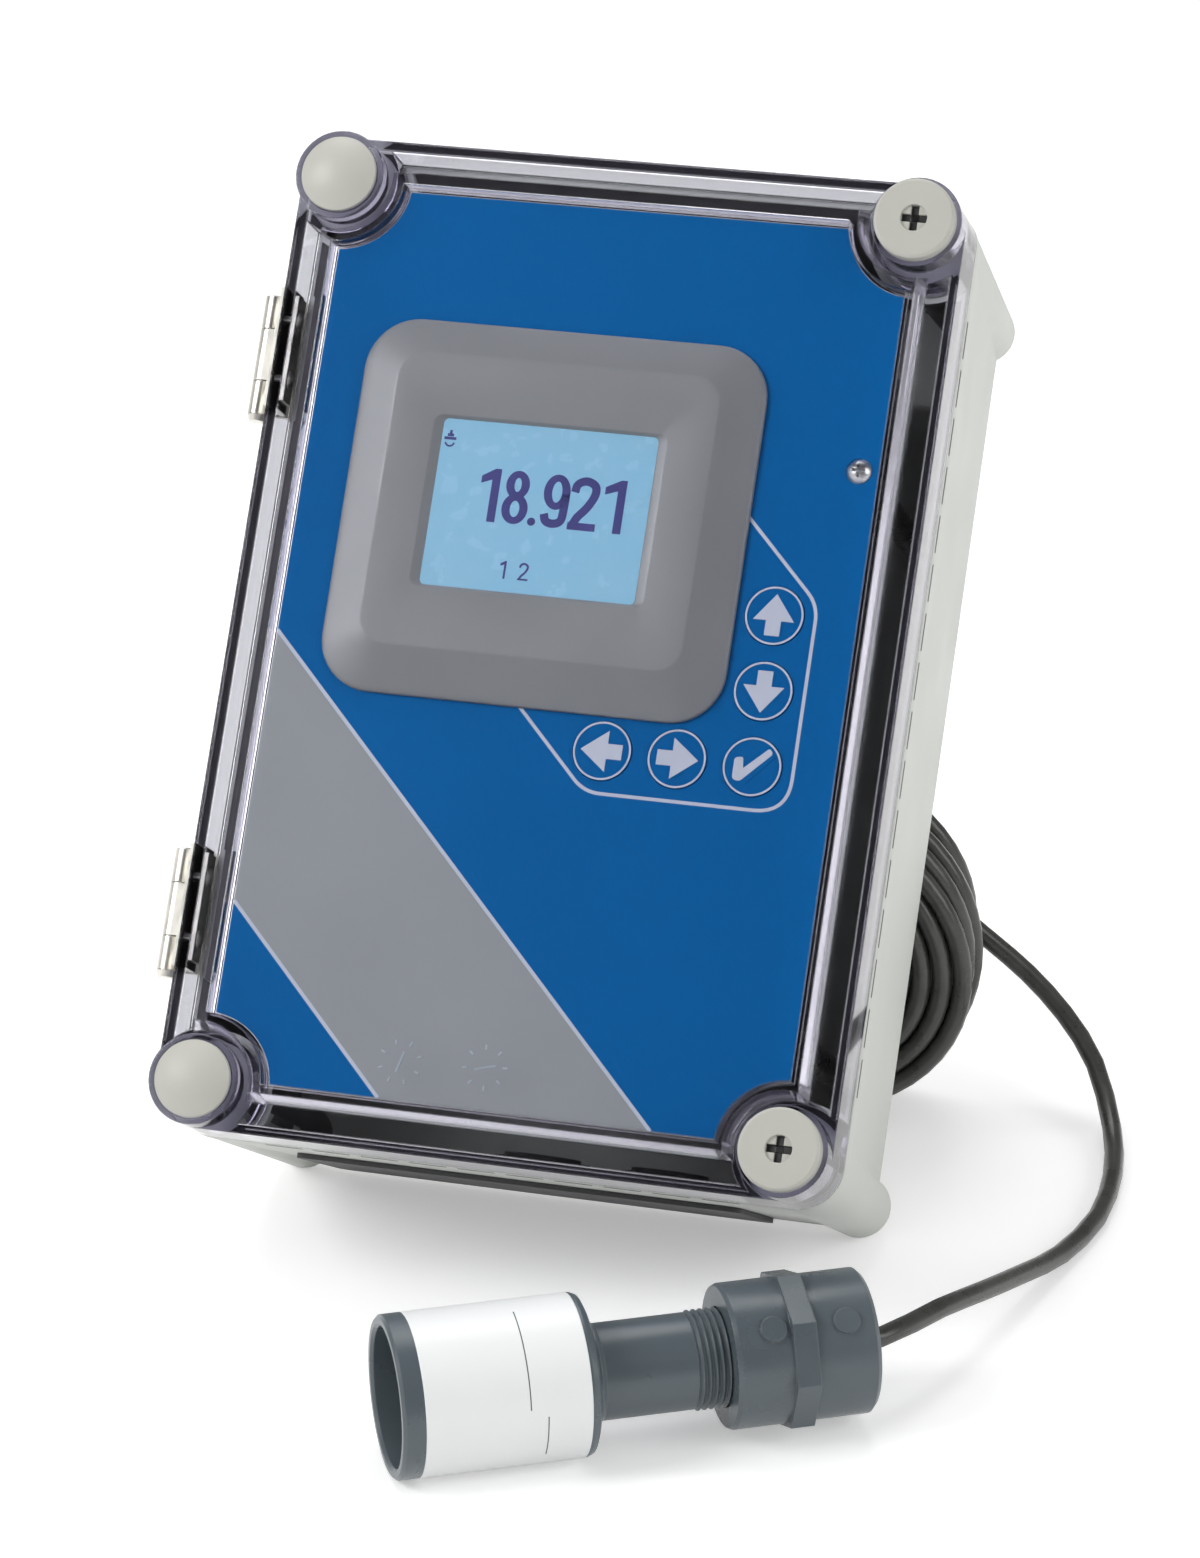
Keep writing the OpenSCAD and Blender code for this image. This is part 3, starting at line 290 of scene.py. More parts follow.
def printed(name, colour, rough=0.4, shade=0.05, shine=0.5):
    """Printed film: an even ink with a faint orange-peel gloss."""
    mat, tree, bsdf = new_material(name)
    bsdf.inputs["Specular IOR Level"].default_value = shine
    peel = noise(tree, 0.8, 2)
    coarse = noise(tree, 45, 3)
    dark = shaded(colour, shade)
    tree.links.new(mixed(tree, ranged(tree, coarse, 0, 1), dark, colour), bsdf.inputs["Base Color"])
    tree.links.new(ranged(tree, peel, rough - 0.05, rough + 0.05), bsdf.inputs["Roughness"])
    tree.links.new(bumped(tree, peel, 0.006), bsdf.inputs["Normal"])
    return mat


def board(name):
    """Circuit board: solder mask with paler tracks and small pads."""
    mat, tree, bsdf = new_material(name)
    coords = add(tree, "ShaderNodeTexCoord")
    tracks = add(
        tree, "ShaderNodeTexBrick",
        {"Scale": 160, "Mortar Size": 0.08, "Color1": (0.12, 0.145, 0.13, 1),
         "Color2": (0.135, 0.16, 0.145, 1), "Mortar": (0.19, 0.22, 0.2, 1)},
    )
    tree.links.new(coords.outputs["Object"], tracks.inputs["Vector"])
    tree.links.new(tracks.outputs["Color"], bsdf.inputs["Base Color"])
    fine = noise(tree, 1.5)
    tree.links.new(ranged(tree, fine, 0.3, 0.45), bsdf.inputs["Roughness"])
    tree.links.new(bumped(tree, tracks.outputs["Fac"], 0.03), bsdf.inputs["Normal"])
    return mat


def laminated(name):
    """Transformer core: thin varnished sheets."""
    mat, tree, bsdf = new_material(name)
    coords = add(tree, "ShaderNodeTexCoord")
    sheets = add(tree, "ShaderNodeTexWave", {"Scale": 300.0, "Distortion": 0.4}, bands_direction="X")
    tree.links.new(coords.outputs["Object"], sheets.inputs["Vector"])
    tone = mixed(tree, sheets.outputs["Fac"], (0.07, 0.07, 0.075), (0.2, 0.19, 0.18))
    tree.links.new(tone, bsdf.inputs["Base Color"])
    tree.links.new(bumped(tree, sheets.outputs["Fac"], 0.1), bsdf.inputs["Normal"])
    tree.links.new(ranged(tree, noise(tree, 2), 0.4, 0.6), bsdf.inputs["Roughness"])
    bsdf.inputs["Metallic"].default_value = 0.6
    return mat


PLASTIC_IOR = 1.5
SMOKE_TONE = (0.5, 0.47, 0.6, 1)


def clear(name, tint, rough, smoke):
    """Clear moulded plastic, smokier where it is thick.

    Rays to the lamps pass straight through, so what is behind stays lit.
    """
    mat, tree, bsdf = new_material(name)
    bsdf.inputs["Base Color"].default_value = (*tint, 1)
    bsdf.inputs["Transmission Weight"].default_value = 1
    bsdf.inputs["Roughness"].default_value = rough
    bsdf.inputs["IOR"].default_value = PLASTIC_IOR
    flow = noise(tree, 30, 2)
    tree.links.new(bumped(tree, flow, 0.012, rounded_normal(tree, 0.8)), bsdf.inputs["Normal"])
    open_to_lamps = add(tree, "ShaderNodeBsdfTransparent", {"Color": (*tint, 1)})
    path = add(tree, "ShaderNodeLightPath")
    both = add(tree, "ShaderNodeMixShader")
    tree.links.new(path.outputs["Is Shadow Ray"], both.inputs["Fac"])
    tree.links.new(bsdf.outputs["BSDF"], both.inputs[1])
    tree.links.new(open_to_lamps.outputs["BSDF"], both.inputs[2])
    depth = add(tree, "ShaderNodeVolumeAbsorption", {"Color": SMOKE_TONE, "Density": smoke})
    tree.links.new(both.outputs["Shader"], tree.nodes["Material Output"].inputs["Surface"])
    tree.links.new(depth.outputs["Volume"], tree.nodes["Material Output"].inputs["Volume"])
    return mat


def lit_screen(name):
    """Lit display: pale blue, bluer towards the right and paler in soft clouds, with a fine dot grid."""
    mat, tree, bsdf = new_material(name)
    coords = add(tree, "ShaderNodeTexCoord")
    split = add(tree, "ShaderNodeSeparateXYZ")
    tree.links.new(coords.outputs["Generated"], split.inputs["Vector"])
    across = ranged(tree, split.outputs["X"], 0, 1, 0.55, 1.0)
    glow = mixed(tree, across, srgb(127, 174, 194), srgb(132, 186, 221))
    cloud = ranged(tree, noise(tree, 20, 2), 0, 0.5)
    tone = mixed(tree, cloud, glow, srgb(136, 181, 199))
    tree.links.new(tone, bsdf.inputs["Base Color"])
    tree.links.new(tone, bsdf.inputs["Emission Color"])
    bsdf.inputs["Emission Strength"].default_value = 0.3
    dots = add(tree, "ShaderNodeTexChecker", {"Scale": 1600})
    tree.links.new(coords.outputs["Object"], dots.inputs["Vector"])
    tree.links.new(bumped(tree, dots.outputs["Fac"], 0.003), bsdf.inputs["Normal"])
    tree.links.new(ranged(tree, noise(tree, 5), 0.18, 0.3), bsdf.inputs["Roughness"])
    return mat


def jacket(name):
    """Cable jacket: satin dark grey with fine drag lines and dusty patches."""
    mat, tree, bsdf = new_material(name)
    dust = noise(tree, 9, 5)
    fine = noise(tree, 0.5)
    tone = mixed(tree, ranged(tree, dust, 0, 1), srgb(63, 63, 61), srgb(75, 75, 72))
    tree.links.new(tone, bsdf.inputs["Base Color"])
    tree.links.new(ranged(tree, dust, 0.24, 0.34), bsdf.inputs["Roughness"])
    tree.links.new(bumped(tree, fine, 0.02), bsdf.inputs["Normal"])
    return mat


NICKEL = (0.78, 0.76, 0.70)
# Painted shade: dark grey laid on the faces inside the enclosure, standing in for the shade there
PAINTED_INSIDE_SHADE = (0.065, 0.065, 0.069)
looks = {
    "shell_plastic": moulded(
        "shell_plastic", srgb(208, 211, 205), rough=0.5, grain=0.7, edge=0.8, shade=0.03,
        inside_shade=PAINTED_INSIDE_SHADE,
    ),
    "gasket_rubber": moulded("gasket_rubber", (0.03, 0.03, 0.03), rough=0.7, wear=0.02),
    "zinc_steel": plated("zinc_steel", (0.72, 0.72, 0.70), 0.28),
    "board_laminate": board("board_laminate"),
    "core_steel": laminated("core_steel"),
    "relay_plastic": moulded("relay_plastic", (0.03, 0.08, 0.18), rough=0.3),
    "terminal_plastic": moulded("terminal_plastic", (0.03, 0.18, 0.06)),
    "component_black": moulded("component_black", (0.03, 0.03, 0.032), wear=0.05),
    "lead_plastic": moulded("lead_plastic", (0.35, 0.35, 0.36)),
    "plug_plastic": moulded("plug_plastic", (0.062, 0.062, 0.065), rough=0.6, wear=0.04, inside_shade=PAINTED_INSIDE_SHADE),
    "panel_sheet": plated("panel_sheet", (0.66, 0.66, 0.67), 0.35, (1, 12, 1)),
    "overlay_film": printed("overlay_film", srgb(0, 99, 163), shine=0.05),
    "bezel_plastic": moulded(
        "bezel_plastic", srgb(134, 136, 135), rough=0.38, spread=0.03, grain=0.45, depth=0.012,
        shade=0.03, wear=0.05, shine=0.75,
    ),
    "screen_glass": lit_screen("screen_glass"),
    "key_plastic": printed("key_plastic", srgb(0, 98, 162), shine=0.05),
    "nickel_steel": plated("nickel_steel", NICKEL, 0.34, (1, 1, 10)),
    "clear_plastic": clear("clear_plastic", (0.95, 0.955, 0.97), 0.03, 60),
    "cap_plastic": moulded("cap_plastic", srgb(188, 188, 180), rough=0.42, edge=0.6, shade=0.03),
    "pvc_plastic": moulded(
        "pvc_plastic", srgb(85, 95, 101), rough=0.3, grain=1.2, depth=0.03, shade=0.1, wear=0.08
    ),
    "sounding_plastic": moulded("sounding_plastic", srgb(50, 55, 58), rough=0.6, grain=0.9, depth=0.06),
    "label_film": printed("label_film", srgb(238, 240, 240), rough=0.35, shade=0.02),
    "cable_jacket": jacket("cable_jacket"),
    "tie_plastic": moulded("tie_plastic", (0.012, 0.012, 0.012), rough=0.4),
}
for part in frame["record"]["subparts"]:
    mesh = nodes[part["node"]].data
    mesh.materials.clear()
    mesh.materials.append(looks[part["material_slot"]])

band_ink = printed("band_ink", srgb(154, 158, 158), rough=0.38, shine=0.2)
line_ink = printed("line_ink", srgb(200, 207, 217), rough=0.4, shine=0.2)
# Painted shade: near-black steel for the shade inside the cover screws' drive recesses
drive_recess_shade = plated("drive_recess_shade", (0.10, 0.10, 0.10), 0.45)
digit_ink = printed("digit_ink", srgb(52, 52, 124), rough=0.5)
rule_ink = printed("rule_ink", srgb(84, 88, 92), rough=0.45)
frosted = printed("frosted_mark", srgb(168, 176, 186), rough=0.5)


# Building blocks

def add_piece(name, mesh, look, body):
    """New piece from a mesh that is already in the row frame, riding on a body."""
    piece = bpy.data.objects.new(name, mesh)
    scene.collection.objects.link(piece)
    mesh.materials.append(look)
    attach(piece, body)
    return piece


def mesh_of(data, matrix):
    """Mesh of a curve, carried by a matrix."""
    holder = bpy.data.objects.new(data.name, data)
    scene.collection.objects.link(holder)
    bpy.context.view_layer.update()
    shown = holder.evaluated_get(bpy.context.evaluated_depsgraph_get())
    mesh = bpy.data.meshes.new_from_object(shown)
    bpy.data.objects.remove(holder)
    mesh.materials.clear()
    mesh.transform(matrix)
    return mesh


def flat_mesh(name, outlines, low, thick, matrix):
    """Thin plate with the given closed outlines; an outline inside another is a hole."""
    curve = bpy.data.curves.new(name, "CURVE")
    curve.dimensions = "2D"
    curve.fill_mode = "BOTH"
    curve.extrude = thick / 2
    for outline in outlines:
        spline = curve.splines.new("POLY")
        spline.points.add(len(outline) - 1)
        spline.use_cyclic_u = True
        for point, (x, y) in zip(spline.points, outline):
            point.co = (x, y, 0, 1)
    return mesh_of(curve, matrix @ Matrix.Translation((0, 0, low + thick / 2)))


def joined(name, meshes):
    bm = bmesh.new()
    for mesh in meshes:
        bm.from_mesh(mesh)
    result = bpy.data.meshes.new(name)
    bm.to_mesh(result)
    bm.free()
    return result


def ellipse(x, y, rx, ry, count=36):
    turn = 2 * math.pi / count
    return [(x + rx * math.cos(i * turn), y + ry * math.sin(i * turn)) for i in range(count)]


def circle(at, radius, count=48):
    return ellipse(*at, radius, radius, count)


CORNER_STEPS = 8


def rounded_path(corners, radii):
    """Open path through corners, each inner corner rounded to its radius."""
    path = [Vector(corners[0])]
    for before, corner, after, radius in zip(corners, corners[1:], corners[2:], radii):
        corner = Vector(corner)
        back = (Vector(before) - corner).normalized()
        ahead = (Vector(after) - corner).normalized()
        half = back.angle(ahead) / 2
        reach = radius / math.tan(half)
        start = corner + back * reach
        stop = corner + ahead * reach
        for i in range(CORNER_STEPS + 1):
            t = i / CORNER_STEPS
            path.append((1 - t) ** 2 * start + 2 * t * (1 - t) * corner + t ** 2 * stop)
    path.append(Vector(corners[-1]))
    return path


def stroke(path, width):
    """Closed outline of a line of the given width along an open path."""
    left = []
    right = []
    for i, point in enumerate(path):
        ahead = path[min(i + 1, len(path) - 1)] - path[max(i - 1, 0)]
        side = Vector((-ahead.y, ahead.x)).normalized() * width / 2
        left.append((point + side)[:])
        right.append((point - side)[:])
    return left + right[::-1]


def smooth_points(points, steps):
    """Points of a smooth curve through the given points."""
    ends = [points[0] * 2 - points[1]] + points + [points[-1] * 2 - points[-2]]
    result = []
    for a, b, c, d in zip(ends, ends[1:], ends[2:], ends[3:]):
        for k in range(steps):
            t = k / steps
            result.append(
                0.5 * (2 * b + (c - a) * t + (2 * a - 5 * b + 4 * c - d) * t * t
                       + (3 * b - a - 3 * c + d) * t ** 3)
            )
    result.append(points[-1])
    return result


def rounded_rectangle(at, width, height, radius, steps=10):
    """Outline with round corners, anticlockwise from the right side, the same count for any size."""
    outline = []
    for quarter, (sx, sy) in enumerate(((1, 1), (-1, 1), (-1, -1), (1, -1))):
        middle = (at[0] + sx * (width / 2 - radius), at[1] + sy * (height / 2 - radius))
        for i in range(steps + 1):
            turn = math.pi / 2 * (quarter + i / steps)
            outline.append((middle[0] + radius * math.cos(turn), middle[1] + radius * math.sin(turn)))
    return outline


def lofted(name, rings, matrix):
    """Smooth surface through rings of points with equal counts, from the first ring to the last."""
    count = len(rings[0])
    points = [point for ring in rings for point in ring]
    faces = []
    for r in range(len(rings) - 1):
        for i in range(count):
            j = (i + 1) % count
            faces.append((r * count + i, r * count + j, (r + 1) * count + j, (r + 1) * count + i))
    mesh = bpy.data.meshes.new(name)
    mesh.from_pydata(points, [], faces)
    mesh.transform(matrix)
    mesh.shade_smooth()
    return mesh


def axis_frame(at, way):
    """Matrix of a turned piece: z runs along way from at, and y points up."""
    turn = way.to_track_quat("Z", "Y").to_matrix().to_4x4()
    return Matrix.Translation(at * MM) @ turn @ Matrix.Scale(MM, 4)


def revolved(name, profile, matrix, count):
    """Surface round an axis: (distance along it, radius) of each ring."""
    rings = [[(x, y, along) for x, y in circle((0, 0), radius, count)] for along, radius in profile]
    return lofted(name, rings, matrix)


# Printed face: the diagonal band, its pale borders and the line round the keys
BAND_HIGH = -81.6
BAND_LOW = -157.6
BORDER_W = 1.0


def band_line(total):
    """Points where the line x + y = total meets the panel's left and lower edges."""
    return Vector((-PANEL_W, total + PANEL_W)), Vector((total + PANEL_H, -PANEL_H))


high_left, high_low = band_line(BAND_HIGH)
low_left, low_low = band_line(BAND_LOW)
band_outline = [high_left[:], low_left[:], low_low[:], high_low[:]]
band = flat_mesh("band_print", [band_outline], OVERLAY_TOP, PRINT_T, FACE)
add_piece("band_print", band, band_ink, "enclosure")

KEY_LINE = [(46.0, 43.7), (68.8, 20.9), (68.8, -36.7), (12.2, -36.7), (-10.0, -14.5)]
KEY_LINE_ROUND = (11, 9.5, 11)
KEY_LINE_W = 0.95
key_path = rounded_path(KEY_LINE, KEY_LINE_ROUND)
borders = [
    stroke([high_left, high_low], BORDER_W),
    stroke([low_left, low_low], BORDER_W),
    stroke(key_path, KEY_LINE_W),
]
lines = flat_mesh("panel_lines", borders, OVERLAY_TOP + PRINT_T, PRINT_T, FACE)
add_piece("panel_lines", lines, line_ink, "enclosure")

# Signs on the keys: a ring and an arrow or a check
RING_R = KEY_R - 0.1
RING_W = 0.54
SIGN = 10.0
ARROW = [
    (0, 0.60), (0.57, -0.14), (0.21, -0.14), (0.21, -0.56), (-0.21, -0.56), (-0.21, -0.14), (-0.57, -0.14),
]
# Corners of the check, from the middle of its left side and back to it, and the radius of each
CHECK = [
    (-0.51, -0.10), (-0.51, 0.215), (-0.275, 0.25), (-0.238, -0.062), (0.415, 0.543), (0.542, 0.409),
    (-0.29, -0.427), (-0.51, -0.39), (-0.51, -0.10),
]
CHECK_ROUND = (1.1, 0.6, 0.15, 0.6, 1.1, 1.5, 1.3)


def turned(shape, quarter, at):
    turn = Matrix.Rotation(quarter * math.pi / 2, 2)
    return [(turn @ Vector(p) * SIGN + Vector(at))[:] for p in shape]


def key_print(name, at, sign):
    ring = [circle(at, RING_R), circle(at, RING_R - RING_W)]
    mesh = flat_mesh(name + "_print", ring + [sign], KEY_TOP, PRINT_T, FACE)
    add_piece(name + "_print", mesh, line_ink, name)


enter = Vector(ENTER_AT)
# Name, columns left of and rows above the check key, and quarter turns of each arrow
ARROW_KEYS = [("key_up", 0, 2, 0), ("key_down", 0, 1, 2), ("key_left", 2, 0, 1), ("key_right", 1, 0, 3)]
for name, columns, rows, quarter in ARROW_KEYS:
    at = enter + Vector((-columns, rows)) * KEY_PITCH
    key_print(name, at, turned(ARROW, quarter, at))
check_path = rounded_path([Vector(p) * SIGN + enter for p in CHECK], CHECK_ROUND)
key_print("key_enter", enter, [point[:] for point in check_path[:-1]])

# Bezel with soft edges in place of the faceted solid: (inset, height, corner radius) of each ring
BEZEL_RINGS = [
    (0.0, 0.05, 15.0), (0.0, 0.9, 15.0), (0.15, 1.25, 14.9), (0.5, 1.55, 14.6), (1.1, 1.82, 14.1),
    (3.2, 2.48, 12.9), (6.4, 3.52, 10.9), (9.6, 4.57, 8.9), (11.15, 5.07, 7.9), (11.35, 5.13, 7.8),
    (11.55, 5.17, 7.6), (11.8, 5.19, 7.5), (12.1, 5.2, 7.3), (13.8, 5.2, 6.2),
]
# Its flat begins at this inset and lies off the middle
FLAT_INSET = 12.1
FLAT_SHIFT = Vector((-0.5, 1.6))
# Rings of its opening: (growth to the sides, growth to the ends, height, corner radius)
SCREEN_RINGS = [
    (2.8, 0.9, 5.2, 2.6), (2.6, 0.82, 5.17, 2.5), (2.3, 0.7, 5.05, 2.4), (0.3, 0.15, 4.4, 1.6),
    (0.0, 0.0, 4.2, SCREEN_ROUND), (0.0, 0.0, 0.05, SCREEN_ROUND),
]
rings = []
for inset, height, corner in BEZEL_RINGS:
    middle = Vector(BEZEL_AT) + FLAT_SHIFT * min(inset / FLAT_INSET, 1)
    outline = rounded_rectangle(middle, BEZEL_W - 2 * inset, BEZEL_H - 2 * inset, corner)
    rings.append([(x, y, OVERLAY_TOP + height) for x, y in outline])
for side, end, height, corner in SCREEN_RINGS:
    outline = rounded_rectangle(SCREEN_AT, SCREEN_W + 2 * side, SCREEN_H + 2 * end, corner)
    rings.append([(x, y, OVERLAY_TOP + height) for x, y in outline])
rings.append(rings[0])
bezel_mesh = lofted("soft_bezel", rings, FACE)
bezel = add_piece("soft_bezel", bezel_mesh, looks["bezel_plastic"], "enclosure")
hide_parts("display_bezel")

# Lit window close under the bezel's flat, in place of the plain screen
GLASS_T = 0.5
GLASS_LAP = 0.2
glass_size = (SCREEN_W + 2 * GLASS_LAP, SCREEN_H + 2 * GLASS_LAP)
glass_outline = rounded_rectangle(SCREEN_AT, *glass_size, SCREEN_ROUND)
glass_mesh = flat_mesh("lit_window", [glass_outline], SCREEN_TOP - GLASS_T, GLASS_T, FACE)
glass = add_piece("lit_window", glass_mesh, looks["screen_glass"], "enclosure")
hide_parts("lcd_screen")

# Reading on the display: plain digits drawn with a pen, and a small sensor sign
INK_T = 0.03


def loop(x, y, rx, ry, pen):
    return [ellipse(x, y, rx, ry), ellipse(x, y, rx - pen, ry - 0.85 * pen)]


def pen_line(points, pen):
    return [stroke(smooth_points([Vector(p) for p in points], 6), pen)]


def digit(sign, w, h, pen):
    """Groups of outlines of one digit in a cell of w by h."""
    if sign == "1":
        left = w - pen
        flag = [(left + 0.3 * pen, h), (0, 0.85 * h), (0, 0.71 * h), (left, 0.79 * h)]
        return [[[(left, 0), (w, 0), (w, h)] + flag]]
    if sign == "2":
        arc = [(0.13 * w, 0.70 * h), (0.2 * w, 0.85 * h), (0.5 * w, h - pen / 2), (0.82 * w, 0.84 * h)]
        arc += [(0.84 * w, 0.66 * h), (0.62 * w, 0.43 * h), (0.33 * w, 0.24 * h), (0.17 * w, 0.06 * h)]
        foot = [(0.02 * w, 0), (w, 0), (w, 0.9 * pen), (0.02 * w, 0.9 * pen)]
        return [pen_line(arc, pen), [foot]]
    if sign == "8":
        upper = loop(0.5 * w, 0.735 * h, 0.45 * w, 0.265 * h, pen)
        return [upper, loop(0.5 * w, 0.285 * h, 0.5 * w, 0.285 * h, pen)]
    if sign == "9":
        tail = [(w - pen / 2, 0.66 * h), (w - 0.52 * pen, 0.4 * h), (0.78 * w, 0.15 * h)]
        tail += [(0.5 * w, pen / 2), (0.22 * w, 0.12 * h), (0.12 * w, 0.25 * h)]
        return [loop(0.5 * w, 0.67 * h, 0.5 * w, 0.33 * h, pen), pen_line(tail, pen)]
    return [[ellipse(0.5 * w, 0.5 * pen, 0.5 * pen, 0.5 * pen, 12)]]


def ink(name, groups):
    """One inked piece on the screen from groups of outlines."""
    meshes = [flat_mesh(name, group, SCREEN_TOP, INK_T, FACE) for group in groups]
    add_piece(name, joined(name, meshes), digit_ink, "enclosure")


def moved(groups, x, y):
    return [[[(px + x, py + y) for px, py in outline] for outline in group] for group in groups]


def number(name, places, height, pen, y):
    """One inked piece of a row of digits: sign, left edge and width of each."""
    groups = []
    for sign, x, width in places:
        groups += moved(digit(sign, width, height, pen), x, y)
    ink(name, groups)


BIG_DIGITS = [
    ("1", -28.5, 5.4), ("8", -21.7, 7.4), (".", -13.8, 2.0), ("9", -10.5, 7.5), ("2", -2.8, 8.0),
    ("1", 6.6, 5.9),
]
BIG_H = 15.0
BIG_PEN = 2.35
BIG_Y = 34.1
SMALL_DIGITS = [("1", -19.5, 1.7), ("2", -14.3, 3.0)]
SMALL_H = 5.0
SMALL_PEN = 0.6
SMALL_Y = 18.7
number("reading_digits", BIG_DIGITS, BIG_H, BIG_PEN, BIG_Y)
number("relay_digits", SMALL_DIGITS, SMALL_H, SMALL_PEN, SMALL_Y)

# Sensor sign: both ends and the width of each bar, and the arc under them
SIGN_AT = (-39.1, 56.1)
SIGN_BARS = [((-1.7, 0.3), (1.7, 0.3), 0.8), ((-0.9, 1.25), (0.9, 1.25), 0.8), ((0, 1.5), (0, 2.6), 0.7)]
SIGN_ARC = [(-1.3, -0.9), (-0.8, -1.6), (0, -1.9), (0.8, -1.6), (1.3, -0.9)]
SIGN_ARC_W = 0.5
sensor_sign = [[stroke([Vector(start), Vector(stop)], width)] for start, stop, width in SIGN_BARS]
sensor_sign.append(pen_line(SIGN_ARC, SIGN_ARC_W))
ink("sensor_sign", moved(sensor_sign, *SIGN_AT))

# Dark strips set just inside the slits below the seam: painted shade in the slits
SLIT_LEN = 10.5
SLIT_PITCH = 13.7
SLIT_H = 1.1
SLIT_ROUND = 0.3
SIDE_SLITS = 16
END_SLITS = 10
SLIT_Z = SEAM_Z - 2.55
SHADE_STRIP_IN = 1.9
SHADE_STRIP_OUT = -0.03
# Axes of a wall: x along it, y up the box and z out of it
wall_axes = Matrix(((0, 0, 1, 0), (1, 0, 0, 0), (0, 1, 0, 0), (0, 0, 0, 1)))
shade_strips = []
for quarter, (half, count) in enumerate([(HALF_W, SIDE_SLITS), (HALF_H, END_SLITS)] * 2):
    places = [((i - (count - 1) / 2) * SLIT_PITCH, SLIT_Z) for i in range(count)]
    bars = [rounded_rectangle(place, SLIT_LEN, SLIT_H, SLIT_ROUND, 4) for place in places]
    turn = Matrix.Rotation(quarter * math.pi / 2, 4, "Z")
    shade_strips.append(flat_mesh("slit_shade", bars, half - SHADE_STRIP_IN, SHADE_STRIP_IN - SHADE_STRIP_OUT, FACE @ turn @ wall_axes))
# Painted shade: the dark strips darken the slits as their shadow would
add_piece("slit_shade_strips", joined("slit_shade_strips", shade_strips), looks["gasket_rubber"], "enclosure")

# Near-black cross at the bottom of each cover screw's recess: painted shade of the drive recess
DRIVE_SPAN = 7.1
DRIVE_BLADE = 2.1
DRIVE_ROUND = 0.3
DRIVE_LOW = SCREW_TOP - 3.15
DRIVE_T = 1.5
for side, body in ((1, "cover_screw_upper"), (-1, "cover_screw_lower")):
    at = (POST_X, side * POST_Y)
    spans = ((DRIVE_SPAN, DRIVE_BLADE), (DRIVE_BLADE, DRIVE_SPAN))
    arms = [rounded_rectangle(at, *span, DRIVE_ROUND, 3) for span in spans]
    arm_meshes = [flat_mesh("drive", [arm], DRIVE_LOW, DRIVE_T, FACE) for arm in arms]
    add_piece(body + "_drive", joined(body + "_drive", arm_meshes), drive_recess_shade, body)

# Cover marks: a ring of ticks with a pointer, moulded into the window; place and turn of each
MARK_PLACES = [(-25.4, -116.2, 20.0), (-1.8, -115.0, -40.0)]
MARK_TICKS = 8
TICK_FROM = 4.9
TICK_TO = 6.2
TICK_W = 0.5
TICK_T = 0.4
TICK_SINK = 0.05
NEEDLE_HALF = 3.0
NEEDLE_W = 0.55
NEEDLE_TURN = 55


def ray(degrees):
    """Unit vector at an angle on the face."""
    return Vector((math.cos(math.radians(degrees)), math.sin(math.radians(degrees))))


for index, (x, y, turn) in enumerate(MARK_PLACES):
    middle = Vector((x, y))
    outlines = []
    for i in range(MARK_TICKS):
        way = ray(turn + 360 * i / MARK_TICKS)
        outlines.append(stroke([middle + way * TICK_FROM, middle + way * TICK_TO], TICK_W))
    needle = ray(turn + NEEDLE_TURN) * NEEDLE_HALF
    outlines.append(stroke([middle - needle, middle + needle], NEEDLE_W))
    name = "cover_mark_%d" % (index + 1)
    mark = flat_mesh(name, outlines, WINDOW_UNDER - TICK_T, TICK_T + TICK_SINK, FACE)
    add_piece(name, mark, frosted, "cover")

# Label: a bare sleeve round the cup, (distance from the mouth, radius) of each ring
LABEL_R = 21.75
LABEL_FROM = 6.0
LABEL_TO = 50.2
LABEL_EDGE = 0.3
LABEL_T = 0.1
LABEL_COUNT = 96
LABEL_RINGS = [
    (LABEL_FROM, LABEL_R - LABEL_T), (LABEL_FROM, LABEL_R), (LABEL_FROM + LABEL_EDGE, LABEL_R),
    (LABEL_TO - LABEL_EDGE, LABEL_R), (LABEL_TO, LABEL_R), (LABEL_TO, LABEL_R - LABEL_T),
]
sensor_frame = axis_frame(MOUTH_AT, SENSOR_DIR)
label_mesh = revolved("bare_label", LABEL_RINGS, sensor_frame, LABEL_COUNT)
label = add_piece("bare_label", label_mesh, looks["label_film"], "enclosure")
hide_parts("sensor_label")

# Plain ruled lines on the label: distance from the mouth, first and last angle
RULES = [(33.7, 95, 172), (38.3, 178, 214)]
RULE_W = 0.3
RULE_R = LABEL_R + 0.02
RULE_STEPS = 30
rules = []
for along, start, stop in RULES:
    turns = [math.radians(start + (stop - start) * i / RULE_STEPS) for i in range(RULE_STEPS + 1)]
    arc = [(RULE_R * math.cos(turn), RULE_R * math.sin(turn)) for turn in turns]
    strip = [[(x, y, along + side * RULE_W / 2) for x, y in arc] for side in (-1, 1)]
    rules.append(lofted("rule", strip, sensor_frame))
add_piece("label_rules", joined("label_rules", rules), rule_ink, "enclosure")

